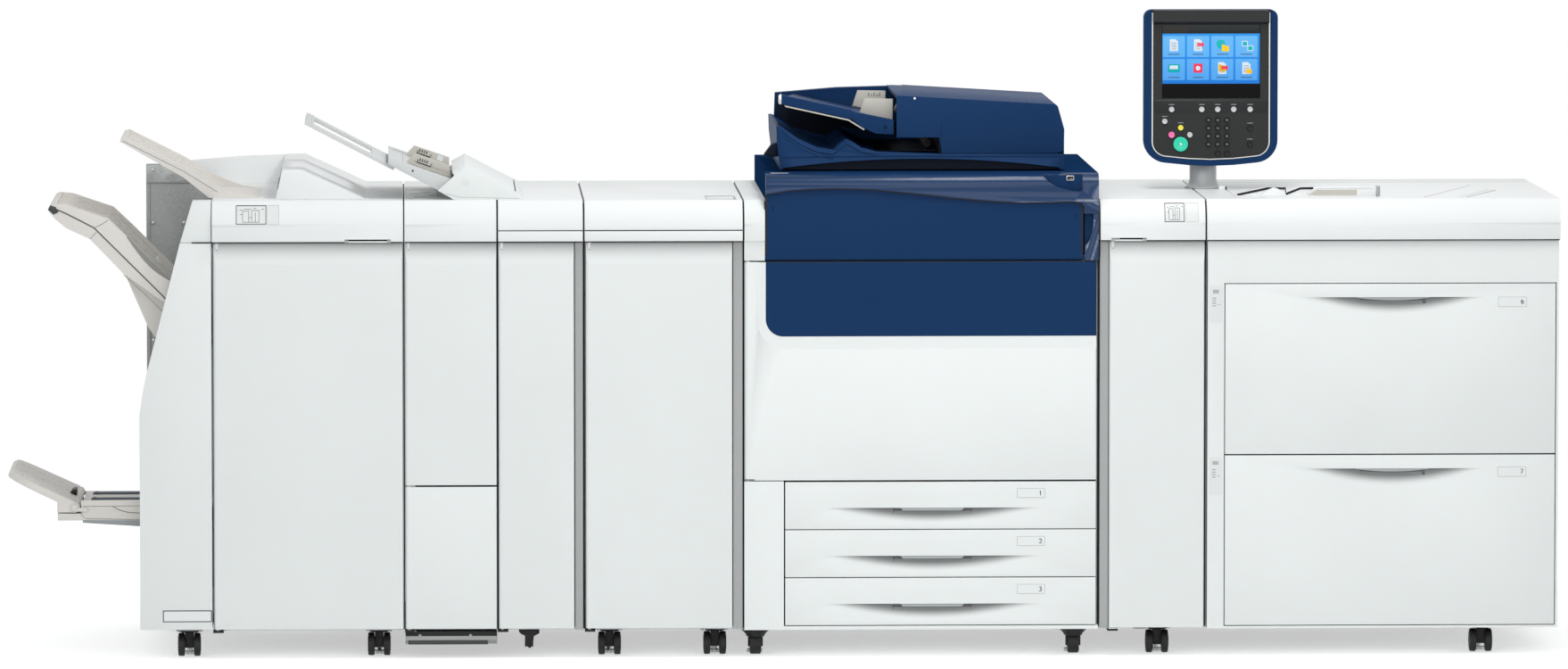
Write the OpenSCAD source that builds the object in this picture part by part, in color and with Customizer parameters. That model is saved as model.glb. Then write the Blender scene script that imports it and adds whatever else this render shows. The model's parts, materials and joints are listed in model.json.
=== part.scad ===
// Digital production printer: a line of docked modules from the finisher at the left
// to the high-capacity paper feeder at the right. Millimetres, front faces -Y, +Z up,
// origin on the floor under the middle of the line.

/* [Press line] */
// Height of the deck that all modules share
deck_h = 989; // [980:1:1000]
// Depth of the line, from the back panels to the noses of the top covers
line_d = 744; // [720:2:760]
// Gap between docked modules
dock_gap = 4; // [3:1:6]
// Thickness of the front doors
door_t = 28; // [26:1:30]
// Sheet thickness of the cabinets
wall = 6; // [4:1:8]

/* [Modules] */
// Width of the finisher behind its front door
finisher_w = 410; // [400:1:420]
// Width of the folder
folder_w = 197; // [190:1:210]
// Width of the transport module
transport_w = 182; // [175:1:190]
// Width of the trimmer
trimmer_w = 340; // [330:1:350]
// Width of the print engine
engine_w = 764; // [760:1:770]
// Width of the interface module
interface_w = 226; // [220:1:235]
// Width of the paper feeder
feeder_w = 764; // [755:1:770]

/* [Control panel] */
// Width of the panel shell
panel_w = 293; // [285:1:300]
// Height of the panel shell
panel_h = 342; // [335:1:350]
// Lowest point of the panel shell
panel_z = 1041; // [1035:1:1050]
// Depth of the panel shell
panel_t = 33; // [30:1:36]
// Radius of the start key
start_r = 16; // [14:1:17]
// Travel of every key
key_travel = 1.5; // [1:0.1:2]

/* [Running gear] */
// Radius of the caster wheels
wheel_r = 25; // [22:1:27]
// Radius of the levelling foot pads
foot_r = 17; // [14:1:18]
// Radial clearance of pins in their bores
pin_gap = 0.05; // [0.02:0.01:0.1]

/* [Drawers] */
// Height of one engine drawer with its gap
drawer_pitch = 104; // [103:0.5:105]
// Height of one feeder drawer front
bin_h = 368; // [365:1:369]
// Depth of the drawer boxes behind their fronts
drawer_d = 560; // [500:5:580]

/* [Hidden] */

$fn = 48;
white = [0.90, 0.92, 0.91];
beige = [0.80, 0.78, 0.75];
blue = [0.13, 0.22, 0.38];
metal = [0.45, 0.47, 0.47];
black = [0.10, 0.10, 0.11];
silver = [0.75, 0.76, 0.77];

// Heights that the fronts share
fascia_z = deck_h - 87;
fascia_bend_z = deck_h - 56;
lid_split_z = deck_h - 64;
door_top_z = fascia_z - 3;
crease_z = deck_h - 137;
body_z = 60;
door_z = 65;

// Depths
back_y = line_d / 2;
nose_y = -line_d / 2;
door_y = nose_y + 7;
frame_y = door_y + door_t + 7;

// Module edges, from the right end of the line to the left
feeder_x1 = 1676;
feeder_x0 = feeder_x1 - feeder_w;
interface_x1 = feeder_x0 - dock_gap;
interface_x0 = interface_x1 - interface_w;
engine_x1 = interface_x0 - dock_gap;
engine_x0 = engine_x1 - engine_w;
trimmer_x1 = engine_x0 - dock_gap;
trimmer_x0 = trimmer_x1 - trimmer_w;
transport_x1 = trimmer_x0 - dock_gap;
transport_x0 = transport_x1 - transport_w;
folder_x1 = transport_x0 - dock_gap;
folder_x0 = folder_x1 - folder_w;
finisher_x1 = folder_x0 - dock_gap;
finisher_x0 = finisher_x1 - finisher_w;

// Door hinges: vertical pins set in by the corner radius
hinge_r = 8;
pin_r = 4;
pin_len = 17;
folder_split_z = 374;
engine_door_z0 = 384;
toner_z0 = 858;

// Control panel
panel_x = 946;
panel_y0 = door_y + 350;
panel_y1 = panel_y0 + panel_t;
post_x = 934;
post_y = panel_y1 + 31;
tilt_z = panel_z + 110;
face_inset = 18;
keypad_x = panel_x + 15;
keypad_z = panel_z + 48;
key_r = 6;

// Document feeder
adf_y0 = door_y + 90;
adf_y1 = adf_y0 + 510;
adf_z = deck_h + 61;
adf_hinge_y = adf_y1 + 11;
adf_hinge_z = adf_z + 12;
feed_hinge = [678, deck_h + 147];
tray_hinge = [308, deck_h + 152];

// Inserter tray line: height of its underside at its lower end, and its slope
tray_slope = 27.5;
tray_foot = [72, deck_h + 20];

// Casters: centre of each pair along the line, and the rows
caster_x = [-1284, -874, -376, -148, 811, 1515];
engine_caster_x = [-60, 629];
front_row_y = door_y + 80;
rear_row_y = -front_row_y;
foot_inset = 50;
axle_z = wheel_r + 0.5;
axle_r = 4;

// A box from its six faces
module block(x0, x1, y0, y1, z0, z1) {
  translate([x0, y0, z0]) cube([x1 - x0, y1 - y0, z1 - z0]);
}

// An outline in Y and Z, drawn out along X
module along_x(x0, x1, points) {
  translate([x0, 0, 0]) rotate([90, 0, 90]) linear_extrude(x1 - x0) polygon(points);
}

// An outline in X and Z, drawn out along Y
module along_y(y0, y1, points) {
  translate([0, y1, 0]) rotate([90, 0, 0]) linear_extrude(y1 - y0) polygon(points);
}

// A round bar along X or Y
module bar_x(x0, x1, y, z, r) {
  translate([x0, y, z]) rotate([0, 90, 0]) cylinder(h = x1 - x0, r = r);
}

module bar_y(x, y0, y1, z, r) {
  translate([x, y1, z]) rotate([90, 0, 0]) cylinder(h = y1 - y0, r = r);
}

function arc(cx, cy, r, a0, a1, n = 8) =
  [for (i = [0:n]) let (a = a0 + (a1 - a0) * i / n) [cx + r * cos(a), cy + r * sin(a)]];

// A sheet cabinet that is open at the front
module cabinet(x0, x1, z1) {
  difference() {
    block(x0, x1, frame_y, back_y, body_z, z1);
    block(x0 + wall, x1 - wall, frame_y - 1, back_y - wall, body_z + wall, z1 - wall);
  }
}

// A bracket below a door that carries its lower hinge pin
module low_hinge(x0) {
  block(x0, x0 + 22, door_y, frame_y + 2, body_z - 2, door_z - 3);
  translate([x0 + hinge_r, door_y + hinge_r, door_z - 4]) cylinder(h = pin_len, r = pin_r);
}

// The upper hinge pin of a door, hanging from z
module high_hinge(x0, z) {
  block(x0, x0 + 22, door_y, frame_y, z, z + 12);
  translate([x0 + hinge_r, door_y + hinge_r, z - pin_len]) cylinder(h = pin_len + 1, r = pin_r);
}

// A top cover with a rounded nose that overhangs the doors
nose_r = 71.6;
nose_end = 180 - asin((deck_h - fascia_bend_z) / nose_r);
module top_cover(x0, x1) {
  nose = arc(nose_y + nose_r, fascia_bend_z, nose_r, nose_end, 180);
  difference() {
    along_x(x0, x1, concat([[back_y, fascia_z], [back_y, deck_h]], nose, [[nose_y, fascia_z]]));
    along_x(x0 + wall, x1 - wall, [[nose_y + 12, fascia_z - 1], [nose_y + 12, deck_h - 39],
      [nose_y + 37, deck_h - wall], [back_y - wall, deck_h - wall], [back_y - wall, fascia_z - 1]]);
  }
}

// Fingers reach up behind the lower edge of a top cover here
module grip_notch(x0, x1) {
  block(x0, x1, nose_y - 1, nose_y + 10, fascia_z - 1, fascia_z + 5);
}

// A cabinet door hinged at its left edge: plan with a round hinge corner, leaning top band
module door(x0, x1, z0, z1, creased = true) {
  w = x1 - x0;
  q = 4;
  lean = creased ? 6 : 0;
  difference() {
    intersection() {
      translate([x0, door_y, z0]) linear_extrude(z1 - z0) {
        difference() {
          square([w, door_t]);
          square([hinge_r, hinge_r]);
          translate([w - q, 0]) square([q, q]);
        }
        translate([hinge_r, hinge_r]) circle(hinge_r);
        translate([w - q, q]) circle(q);
      }
      along_x(x0, x1, [[door_y, z0], [door_y, min(crease_z, z1)], [door_y + lean, z1],
        [door_y + door_t, z1], [door_y + door_t, z0]]);
    }
    block(x0 + 18, x1 - 16, door_y + 10, door_y + door_t + 1, z0 + 22, z1 - 22);
    for (z = [z0 - 1, z1 - pin_len])
      translate([x0 + hinge_r, door_y + hinge_r, z]) cylinder(h = pin_len + 1, r = pin_r + pin_gap);
  }
}

// Finisher
module finisher_frame() {
  color(white) {
    difference() {
      cabinet(finisher_x0, finisher_x1, fascia_z);
      block(finisher_x0 - 1, finisher_x0 + wall + 1, -240, 110, 665, 730);
    }
    low_hinge(finisher_x0 + 2);
    for (y = [-200, 60])
      block(finisher_x0 - 12, finisher_x0, y, y + 14, 345, 860);
    block(finisher_x0 + wall, finisher_x1 - wall, frame_y + 20, back_y - wall, 460, 464);
    for (x = [110, 180, 250, 320])
      bar_y(finisher_x0 + x, frame_y + 20, back_y - wall, 780, 12);
  }
}

module finisher_left_cover() {
  color(white) translate([finisher_x0, 0, 0]) {
    difference() {
      along_y(door_y, door_y + 70, [[-42, deck_h], [-69, door_top_z], [-140, 624], [-150, 575],
        [-157, 528], [-157, door_z], [-2, door_z], [-2, deck_h]]);
      block(-90, 0, door_y - 1, door_y + 3, door_top_z, door_top_z + 2);
    }
    along_y(door_y + 70, back_y - 42, [[-157, door_z], [-157, 90], [-2, 90], [-2, door_z]]);
  }
}

module finisher_top_cover() {
  color(white) {
    difference() {
      top_cover(finisher_x0, finisher_x1);
      grip_notch(finisher_x1 - 125, finisher_x1 - 26);
    }
    high_hinge(finisher_x0 + 2, fascia_z);
    translate([finisher_x0, 0, 0])
      along_y(back_y - 27, back_y, [[-57, deck_h], [-57, deck_h + 48], [60, deck_h + 57],
        [195, deck_h + 62], [329, deck_h]]);
  }
}

module output_hood() {
  y0 = door_y + 75;
  y1 = back_y - 27;
  color(white) translate([finisher_x0, 0, 0]) difference() {
    along_y(y0, y1, [[136, deck_h], [150, deck_h + 62], [193, deck_h + 62], [329, deck_h]]);
    along_y(y0 + 5, y1 - 5, [[143, deck_h - 1], [155, deck_h + 57], [191, deck_h + 57], [315, deck_h - 1]]);
    block(130, 160, -230, 100, deck_h + 6, deck_h + 46);
  }
}

module finisher_rear_panel() {
  color(metal) translate([finisher_x0, 0, 0])
    along_y(back_y - 42, back_y - 2, [[-157, door_z], [-2, door_z], [-2, deck_h - 2], [-59, deck_h - 2],
      [-59, deck_h + 40], [-157, deck_h + 40]]);
}

module top_output_tray() {
  color(beige) translate([finisher_x0, 0, 0]) difference() {
    along_y(-235, 105, [[-200, 1110], [-198, 1117], [-187, 1120], [-60, 1056], [24, deck_h + 5],
      [40, deck_h], [-8, deck_h], [-64, 1034], [-194, 1108]]);
    along_y(-223, 93, [[-185, 1150], [-185, 1113], [-60, 1050], [14, deck_h + 6], [60, deck_h + 6],
      [60, 1150]]);
  }
}

// Tray that the lift carries up and down on the rails of the finisher
module stacker_tray() {
  color(beige) translate([finisher_x0, 0, 0]) difference() {
    union() {
      along_y(-285, 155, [[-354, 966], [-350, 976], [-340, 980], [-313, 977], [-224, 947],
        [-184, 909], [-88, 813], [-14, 739], [-14, 700], [-192, 829], [-264, 904], [-316, 928],
        [-339, 948]]);
      for (y = [-230, 80])
        along_y(y, y + 20, [[-14, 739], [-88, 813], [-192, 829], [-141, 710], [-124, 685], [-14, 660]]);
      for (y = [-208, -185.5, 52, 74.5])
        block(-15, -1.5, y, y + 7.5, 670, 740);
    }
    along_y(-273, 143, [[-336, 1020], [-336, 973], [-314, 970], [-228, 941], [-190, 903], [-94, 807],
      [-20, 733], [-13, 726], [-13, 1020]]);
  }
}

booklet_axis = [-300, 321];
module booklet_tray() {
  color(beige) translate([finisher_x0, 0, 0]) {
    along_y(-265, 135, [[-286, 322], [-286, 308], [-337, 308], [-337, 293], [-283, 293],
      [-283, 288], [-160, 280], [-3, 280], [-3, 322]]);
    along_y(-265, -257, [[-286, 320], [-286, 336.5], [-3, 338], [-3, 320]]);
    for (y = [-271, 135.5]) {
      bar_y(booklet_axis[0], y, y + 5.5, booklet_axis[1], 8);
      block(booklet_axis[0], -273, y, y + 5.5, 313, 321);
    }
    for (y = [-266, 127])
      bar_y(booklet_axis[0], y, y + 9, booklet_axis[1], 3);
    for (y = [-266, 134])
      block(-284, -273, y, y + 2, 313, 321);
  }
}

stop_round = 60;
module booklet_stop() {
  color(beige) translate([finisher_x0, 0, 0]) difference() {
    union() {
      intersection() {
        along_y(-264.5, 134.5, [[-445, 386], [-444, 391], [-434, 394], [-426, 391], [-300, 333.5],
          [-300, 310.5], [-338, 310.5], [-338, 333], [-439, 382]]);
        hull() {
          for (y = [-264.5 + stop_round, 134.5 - stop_round])
            translate([-445 + stop_round, y, 300]) cylinder(h = 110, r = stop_round);
          block(-350, -290, -264.5, 134.5, 300, 410);
        }
      }
      bar_y(booklet_axis[0], -264.5, 134.5, booklet_axis[1], 11);
    }
    for (y = [-266, 126])
      bar_y(booklet_axis[0], y, y + 10, booklet_axis[1], 3 + pin_gap);
  }
}

module finisher_door() {
  color(white) door(finisher_x0 + 2, finisher_x1 - 1, door_z, door_top_z);
}

// Folder
module folder_frame() {
  split_x = folder_x0 + hinge_r;
  color(white) {
    cabinet(folder_x0, folder_x1, fascia_z);
    low_hinge(folder_x0);
    block(folder_x0 + 2, folder_x0 + 22, door_y + 2, frame_y + 2, folder_split_z - 1, folder_split_z + 1);
    for (z = [folder_split_z - pin_len, folder_split_z])
      translate([split_x, door_y + hinge_r, z]) cylinder(h = pin_len, r = pin_r);
    for (z = [480, 560, 640])
      bar_y(folder_x0 + 100, frame_y + 20, back_y - wall, z, 16);
  }
  color(black) {
    block(folder_x0, folder_x1, frame_y - 20, 300, 44, body_z - 2.5);
    block(folder_x0 + 6, folder_x1 - 20, frame_y - 20, 280, 30, 44);
    block(folder_x0 + 30, folder_x1 - 30, frame_y + 10, 280, 44, body_z);
  }
}

module folder_top_cover() {
  color(white) {
    top_cover(folder_x0, folder_x1);
    high_hinge(folder_x0, fascia_z);
  }
}

module folder_upper_door() {
  color(white) door(folder_x0, folder_x1, folder_split_z + 2, door_top_z);
}

module folder_lower_door() {
  color(white) door(folder_x0, folder_x1, door_z, folder_split_z - 2, false);
}

// Sheet inserter on the decks of the folder and the transport module
inserter_y0 = door_y + 40;
inserter_y1 = inserter_y0 + 480;
inserter_axis = [241, deck_h + 11];
inserter_side = 10;

module inserter_body() {
  color(white) translate([folder_x0, 0, 0]) {
    for (y = [inserter_y0, inserter_y1 - inserter_side])
      along_y(y, y + inserter_side, [[72, deck_h + 20], [108, deck_h], [257, deck_h],
        [247.5, deck_h + 12.5], [131, deck_h + 73.7]]);
    difference() {
      along_y(inserter_y0 + inserter_side - 1, inserter_y1 - inserter_side + 1, [[101, deck_h],
        [257, deck_h], [247.5, deck_h + 12.5], [241, deck_h + 16], [239, deck_h + 6],
        [234, deck_h + 6], [132, deck_h + 56], [112, deck_h + 46], [101, deck_h + 38]]);
      along_y(inserter_y0 + 60, inserter_y1 - 60, [[100, deck_h + 20], [190, deck_h + 14],
        [190, deck_h + 26], [132, deck_h + 60], [100, deck_h + 60]]);
      for (y = [inserter_y0 + inserter_side, inserter_y1 - inserter_side - 9])
        bar_y(inserter_axis[0], y, y + 9, inserter_axis[1], 7.5);
    }
    for (y = [inserter_y0 + 5, inserter_y1 - inserter_side - 8])
      bar_y(inserter_axis[0], y, y + 13, inserter_axis[1], 2.5);
  }
}

module inserter_cover() {
  y0 = inserter_y0 + inserter_side + 0.5;
  y1 = inserter_y1 - inserter_side - 0.5;
  color(white) translate([folder_x0, 0, 0]) difference() {
    union() {
      along_y(y0, y1, [[103, deck_h + 58], [132, deck_h + 73.5], [238, deck_h + 18.6],
        [236, deck_h + 12], [132, deck_h + 62], [110, deck_h + 49]]);
      for (y = [y0, y1 - 8])
        bar_y(inserter_axis[0], y, y + 8, inserter_axis[1], 6.5);
    }
    for (y = [y0 - 1, y1 - 9])
      bar_y(inserter_axis[0], y, y + 10, inserter_axis[1], 2.5 + pin_gap);
  }
}

// A plate along the tray line, from run a to run b up the slope, between heights h0 and h1 over it
module tray_plate(a, b, y0, y1, h0, h1) {
  translate([tray_foot[0], 0, tray_foot[1]]) rotate([0, tray_slope, 0])
    block(-b, -a, y0, y1, h0, h1);
}

// The tray's underside follows that line; its sheet surface is a little flatter
module inserter_tray() {
  color(white) translate([folder_x0, 0, 0]) difference() {
    along_y(inserter_y0 + 20, inserter_y1 - 20, [[-35, deck_h + 75.7], [-35, deck_h + 92],
      [101, deck_h + 44], [101, deck_h + 12], [86, deck_h + 12.7], [72, deck_h + 20]]);
    along_y(inserter_y0 + 28, inserter_y1 - 28, [[-40, deck_h + 89.8], [105, deck_h + 38.6],
      [105, deck_h + 110], [-40, deck_h + 110]]);
  }
}

module inserter_extension() {
  color(white) translate([folder_x0, 0, 0]) difference() {
    tray_plate(104, 320, inserter_y0 + 60, inserter_y1 - 60, -8, -1);
    tray_plate(160, 300, inserter_y0 + 130, inserter_y1 - 130, -10, 1);
  }
}

module inserter_guide(y) {
  color(beige) translate([folder_x0, 0, 0])
    along_y(y, y + 8, [[11, deck_h + 72.6], [4, deck_h + 77], [22, deck_h + 95.7], [98, deck_h + 69.5],
      [98, deck_h + 41.9]]);
}

module inserter_front_guide() {
  inserter_guide(-235);
}

module inserter_rear_guide() {
  inserter_guide(70);
}

// A recessed strip beside a door, from the base up to the top cover
module side_strip(x0, x1) {
  block(x0, x1, door_y + 9, frame_y + 1, body_z, fascia_z);
}

// Transport module
strip_w = 19;
module fascia_groove(x0, x1) {
  block(x0 - 1, x1 + 1, nose_y - 1, nose_y + 3, lid_split_z - 1, lid_split_z + 1);
}

module transport_frame() {
  color(white) {
    cabinet(transport_x0, transport_x1, fascia_z);
    low_hinge(transport_x0);
    side_strip(transport_x1 - strip_w + 2, transport_x1);
    for (z = [560, 640, 720])
      bar_y(transport_x0 + 90, frame_y + 20, back_y - wall, z, 14);
  }
}

module transport_top_cover() {
  color(white) {
    difference() {
      top_cover(transport_x0, transport_x1);
      fascia_groove(transport_x0, transport_x1);
    }
    high_hinge(transport_x0, fascia_z);
  }
}

module transport_door() {
  color(white) door(transport_x0, transport_x1 - strip_w, door_z, door_top_z);
}

// Trimmer and crease module
strip_trim_w = 22;
module trimmer_frame() {
  color(white) {
    cabinet(trimmer_x0, trimmer_x1, fascia_z);
    low_hinge(trimmer_x0 + 2);
    side_strip(trimmer_x1 - strip_trim_w + 2, trimmer_x1);
    block(trimmer_x0 + wall, trimmer_x1 - wall, frame_y + 20, back_y - wall, 420, 424);
    for (x = [60, 130, 200, 270])
      bar_y(trimmer_x0 + x, frame_y + 20, back_y - wall, 700, 12);
  }
}

module trimmer_top_cover() {
  color(white) {
    difference() {
      union() {
        top_cover(trimmer_x0, trimmer_x1);
        block(trimmer_x1 - 84, trimmer_x1 - 6, -336, -190, deck_h - 18, deck_h - 5);
      }
      fascia_groove(trimmer_x0, trimmer_x1);
      block(trimmer_x1 - 76, trimmer_x1 - 14, -330, -200, deck_h - 10, deck_h + 1);
    }
    high_hinge(trimmer_x0 + 2, fascia_z);
  }
}

module trimmer_door() {
  color(white) door(trimmer_x0 + 2, trimmer_x1 - strip_trim_w, door_z, door_top_z);
}

// Print engine
drawer_x0 = engine_x0 + 88;
drawer_x1 = engine_x1 - 5;
drawer_z0 = [for (i = [0:2]) 70 + (2 - i) * drawer_pitch];
drawer_h = drawer_pitch - 2;
column_w = 44;
bay_x1 = engine_x1 - 33;

module engine_frame() {
  part_x = drawer_x0 - 10;
  nose = arc(nose_y + nose_r, fascia_bend_z, nose_r, nose_end, 180);
  color(white) {
    difference() {
      block(engine_x0, engine_x1, frame_y, back_y, body_z, deck_h);
      block(part_x + wall, engine_x1 - wall, frame_y - 1, back_y - wall, body_z + wall, engine_door_z0);
      block(engine_x0 + wall, part_x, frame_y - 1, back_y - wall, body_z + wall, engine_door_z0);
      block(engine_x0 + wall, engine_x1 - wall, frame_y - 1, back_y - wall, engine_door_z0 + wall,
        toner_z0 - 2);
      block(engine_x0 + wall, engine_x1 - wall, frame_y - 1, back_y - wall, toner_z0 + 4, deck_h - wall);
    }
    along_x(engine_x0, engine_x0 + column_w, concat([[frame_y + 1, toner_z0 + 1], [frame_y + 1, deck_h]],
      nose, [[nose_y, fascia_z], [door_y, fascia_z - 2], [door_y, toner_z0 + 1]]));
    block(engine_x0, drawer_x0 - 3, door_y, frame_y + 1, body_z, engine_door_z0 - 2);
    block(drawer_x0 - 4, engine_x1, door_y, frame_y + 1, body_z, body_z + 8);
    for (i = [0:2]) {
      block(part_x + wall, drawer_x0 + 26, frame_y, 240, drawer_z0[i] + 1, drawer_z0[i] + 5);
      block(drawer_x1 - 22, engine_x1 - wall, frame_y, 240, drawer_z0[i] + 1, drawer_z0[i] + 5);
    }
    translate([engine_x0 + hinge_r, door_y + hinge_r, engine_door_z0 - 3]) cylinder(h = pin_len, r = pin_r);
    translate([engine_x0 + hinge_r, door_y + hinge_r, toner_z0 - pin_len + 1])
      cylinder(h = pin_len + 1, r = pin_r);
    bar_x(engine_x0 + column_w - 1, engine_x0 + column_w + 14, door_y + 9, toner_z0 + 8, 3);
  }
}

// Outline of the blue panel's pocket: it runs off the door at the right and at the top
module pocket(inset, r, y0, y1) {
  x0 = engine_x0 + 30 + inset[0];
  z0 = 669 + inset[1];
  along_y(y0, y1, concat(arc(x0 + r, z0 + r, r, 180, 270),
    [[engine_x1 - 3, z0], [engine_x1 - 3, crease_z + 5], [x0, crease_z + 5]]));
}

module engine_door() {
  color(white) difference() {
    door(engine_x0, engine_x1 - 4, engine_door_z0, toner_z0 - 2, false);
    pocket([0, 0], 54, door_y - 1, door_y + 8);
  }
}

module door_panel() {
  color(blue) intersection() {
    pocket([16, 26], 38, door_y + 2, door_y + 8);
    block(engine_x0, engine_x1 - 4.5, door_y, frame_y, engine_door_z0, toner_z0 - 2.5);
  }
}

// Outline of the toner cover with its waved upper edge, grown by g
function toner_outline(g) = [[engine_x0 + 46 - g, toner_z0 - g], [engine_x0 + 46 - g, 1000 + g],
  [engine_x0 + 98, 1008.6 + g], [engine_x0 + 145, 1012 + g], [engine_x0 + 192, 1013.4 + g],
  [engine_x0 + 236, 1012.6 + g], [engine_x0 + 280, 1010.3 + g], [engine_x0 + 368, 1001.5 + g],
  [engine_x0 + 451, 992 + g], [engine_x0 + 533, 985 + g], [engine_x0 + 602, 982 + g],
  [engine_x0 + 712, 984 + g], [engine_x0 + 724 + g, 981 + g], [engine_x0 + 730 + g, 972 + g],
  [engine_x0 + 730 + g, toner_z0 - g]];

module toner_cover() {
  color(blue) difference() {
    intersection() {
      along_y(door_y + 1, door_y + 21, toner_outline(0));
      along_x(engine_x0, engine_x1, concat([[door_y + 21, toner_z0], [door_y + 21, 1040],
        [door_y + 1, 1040]], arc(door_y + 9, toner_z0 + 8, 8, 180, 270)));
    }
    block(engine_x0 + 60, bay_x1 - 20, door_y + 8, door_y + 22, toner_z0 + 20, 970);
    bar_x(engine_x0 + 45, engine_x0 + 60, door_y + 9, toner_z0 + 8, 3 + pin_gap);
    bar_x(bay_x1 - 17, bay_x1 + 1, door_y + 9, toner_z0 + 8, 3 + pin_gap);
  }
}

module toner_cartridges() {
  for (i = [0:3]) {
    x = engine_x0 + 140 + i * 160;
    color(black) bar_y(x, frame_y + 10, 250, toner_z0 + 4 + 45, 45);
    color([[0.1, 0.6, 0.8], [0.8, 0.1, 0.5], [0.9, 0.8, 0.1], [0.2, 0.2, 0.2]][i])
      bar_y(x, frame_y + 2, frame_y + 10, toner_z0 + 4 + 45, 30);
  }
}

module imaging_unit() {
  drum_z = 700;
  color(metal) for (y = [frame_y + 20, 300])
    block(engine_x0 + 120, engine_x0 + 660, y, y + 8, engine_door_z0 + wall, 750);
  for (i = [0:3])
    color("teal") bar_y(engine_x0 + 190 + i * 130, frame_y + 28, 300, drum_z, 30);
  color(black) translate([0, 300, 0]) rotate([90, 0, 0]) linear_extrude(300 - frame_y - 28)
    difference() {
      belt_outline(26);
      belt_outline(24);
    }
}

// Flat loop of the transfer belt, seen along Y
module belt_outline(r) {
  translate([engine_x0 + 160, 640 - r]) square([450, 2 * r]);
  for (x = [160, 610])
    translate([engine_x0 + x, 640]) circle(r);
}

nose_top_r = 27;
module scanner_housing() {
  top_z = deck_h + 57;
  x0 = engine_x0 + column_w + 2;
  color(blue) {
    difference() {
      block(x0, engine_x1, frame_y - 13, back_y, deck_h, top_z);
      block(x0 + wall, engine_x1 - wall, frame_y - 9, back_y - wall, deck_h - 1, top_z - 8);
      block(x0 + 100, x0 + 600, -200, 180, top_z - 9, top_z + 1);
      block(x0 + 94, x0 + 606, -206, 186, top_z - 5, top_z + 1);
    }
    difference() {
      along_x(x0, engine_x1, concat([[frame_y - 10, top_z], [frame_y - 10, deck_h - 30],
        [nose_y + 4, deck_h - 30], [nose_y, deck_h - 5]],
        arc(nose_y + nose_top_r, top_z - nose_top_r, nose_top_r, 180, 90)));
      along_y(nose_y - 1, frame_y, toner_outline(2));
      along_y(nose_y - 1, nose_y + 16, concat([[bay_x1 - 91, top_z - 2.5], [bay_x1 - 75, top_z - 18],
        [bay_x1 - 55, top_z - 29], [bay_x1 - 22, top_z - 38]], arc(bay_x1 - 7, top_z - 34, 5, -90, 0, 4),
        [[bay_x1 - 2, top_z - 2.5]]));
    }
    difference() {
      block(bay_x1 + 3, engine_x1, door_y, frame_y, toner_z0, deck_h - 20);
      along_y(door_y - 1, door_y + 12, [[bay_x1 + 2, 891], [bay_x1 + 6, 893], [bay_x1 + 14, 904],
        [bay_x1 + 19, 919], [bay_x1 + 21, 937], [bay_x1 + 22, 959], [bay_x1 + 2, 959]]);
    }
    bar_x(bay_x1 - 15, bay_x1 + 4, door_y + 9, toner_z0 + 8, 3);
    for (x = [x0 + 90, x0 + 520]) {
      for (dx = [0, 41])
        along_x(x + dx, x + dx + 18, concat([[adf_hinge_y - 10, top_z - 1]],
          arc(adf_hinge_y, adf_hinge_z, 10, 180, 0), [[adf_hinge_y + 10, top_z - 1]]));
      bar_x(x + 17, x + 42, adf_hinge_y, adf_hinge_z, 5);
    }
  }
}

module platen_glass() {
  x0 = engine_x0 + column_w + 2;
  color([0.6, 0.75, 0.8]) block(x0 + 94.3, x0 + 605.7, -205.7, 185.7, deck_h + 52, deck_h + 56.8);
}

// Document feeder: its offsets along X are counted from the engine's left side.
// Its cover has a skirt that hangs down to the rim of the base, over an arched recess.
rim_z = adf_z + 33.3;
skirt_t = 6;
arch_r = 2320;
module document_feeder() {
  hinge_x = column_w + 2;
  color(blue) translate([engine_x0, 0, 0]) {
    difference() {
      union() {
        along_y(adf_y0, adf_y1, [[80, adf_z], [695, adf_z], [695, rim_z], [424, rim_z],
          [291, adf_z + 38], [256, adf_z + 47], [236, adf_z + 60], [223, adf_z + 66],
          [210, adf_z + 56], [196, adf_z + 42], [160, adf_z + 48], [120, adf_z + 66],
          [80, adf_z + 94], [72, adf_z + 94], [73, adf_z + 60]]);
        block(430, 695, adf_y0 + skirt_t + 2, adf_y1, adf_z + 20, adf_z + 67);
        along_y(adf_y1 - 35, adf_y1, [[82, adf_z + 40], [86, adf_z + 142], [220, adf_z + 153],
          [363, adf_z + 157], [363, adf_z + 67], [431, adf_z + 67], [431, adf_z + 30]]);
      }
      block(86, 689, adf_y0 + 16, adf_y1 - 41, adf_z - 1, adf_z + 27);
      block(437, 689, adf_y0 + 16, adf_y1 - 41, adf_z + 20, adf_z + 62);
      intersection() {
        translate([385, adf_y0 - 1, adf_z + 23 - arch_r]) rotate([-90, 0, 0])
          cylinder(h = 9, r = arch_r, $fn = 720);
        block(86, 684, adf_y0 - 2, adf_y0 + 9, adf_z - 1, adf_z + 30);
      }
    }
    for (y = [adf_y0 + 21, adf_y1 - 31]) {
      block(feed_hinge[0] - 7, feed_hinge[0] + 7, y, y + 10, adf_z + 66, feed_hinge[1] + 6);
      bar_y(feed_hinge[0], y - 14, y + 24, feed_hinge[1], 3);
    }
    bar_y(tray_hinge[0], adf_y0 + 4, adf_y1 - 34, tray_hinge[1], 4);
    for (x = [hinge_x + 109, hinge_x + 539])
      difference() {
        union() {
          bar_x(x, x + 21, adf_hinge_y, adf_hinge_z, 9.5);
          block(x, x + 21, adf_y1 - 4, adf_hinge_y, adf_z + 4, adf_z + 21.5);
        }
        bar_x(x - 1, x + 22, adf_hinge_y, adf_hinge_z, 5 + pin_gap);
      }
  }
}

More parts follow.
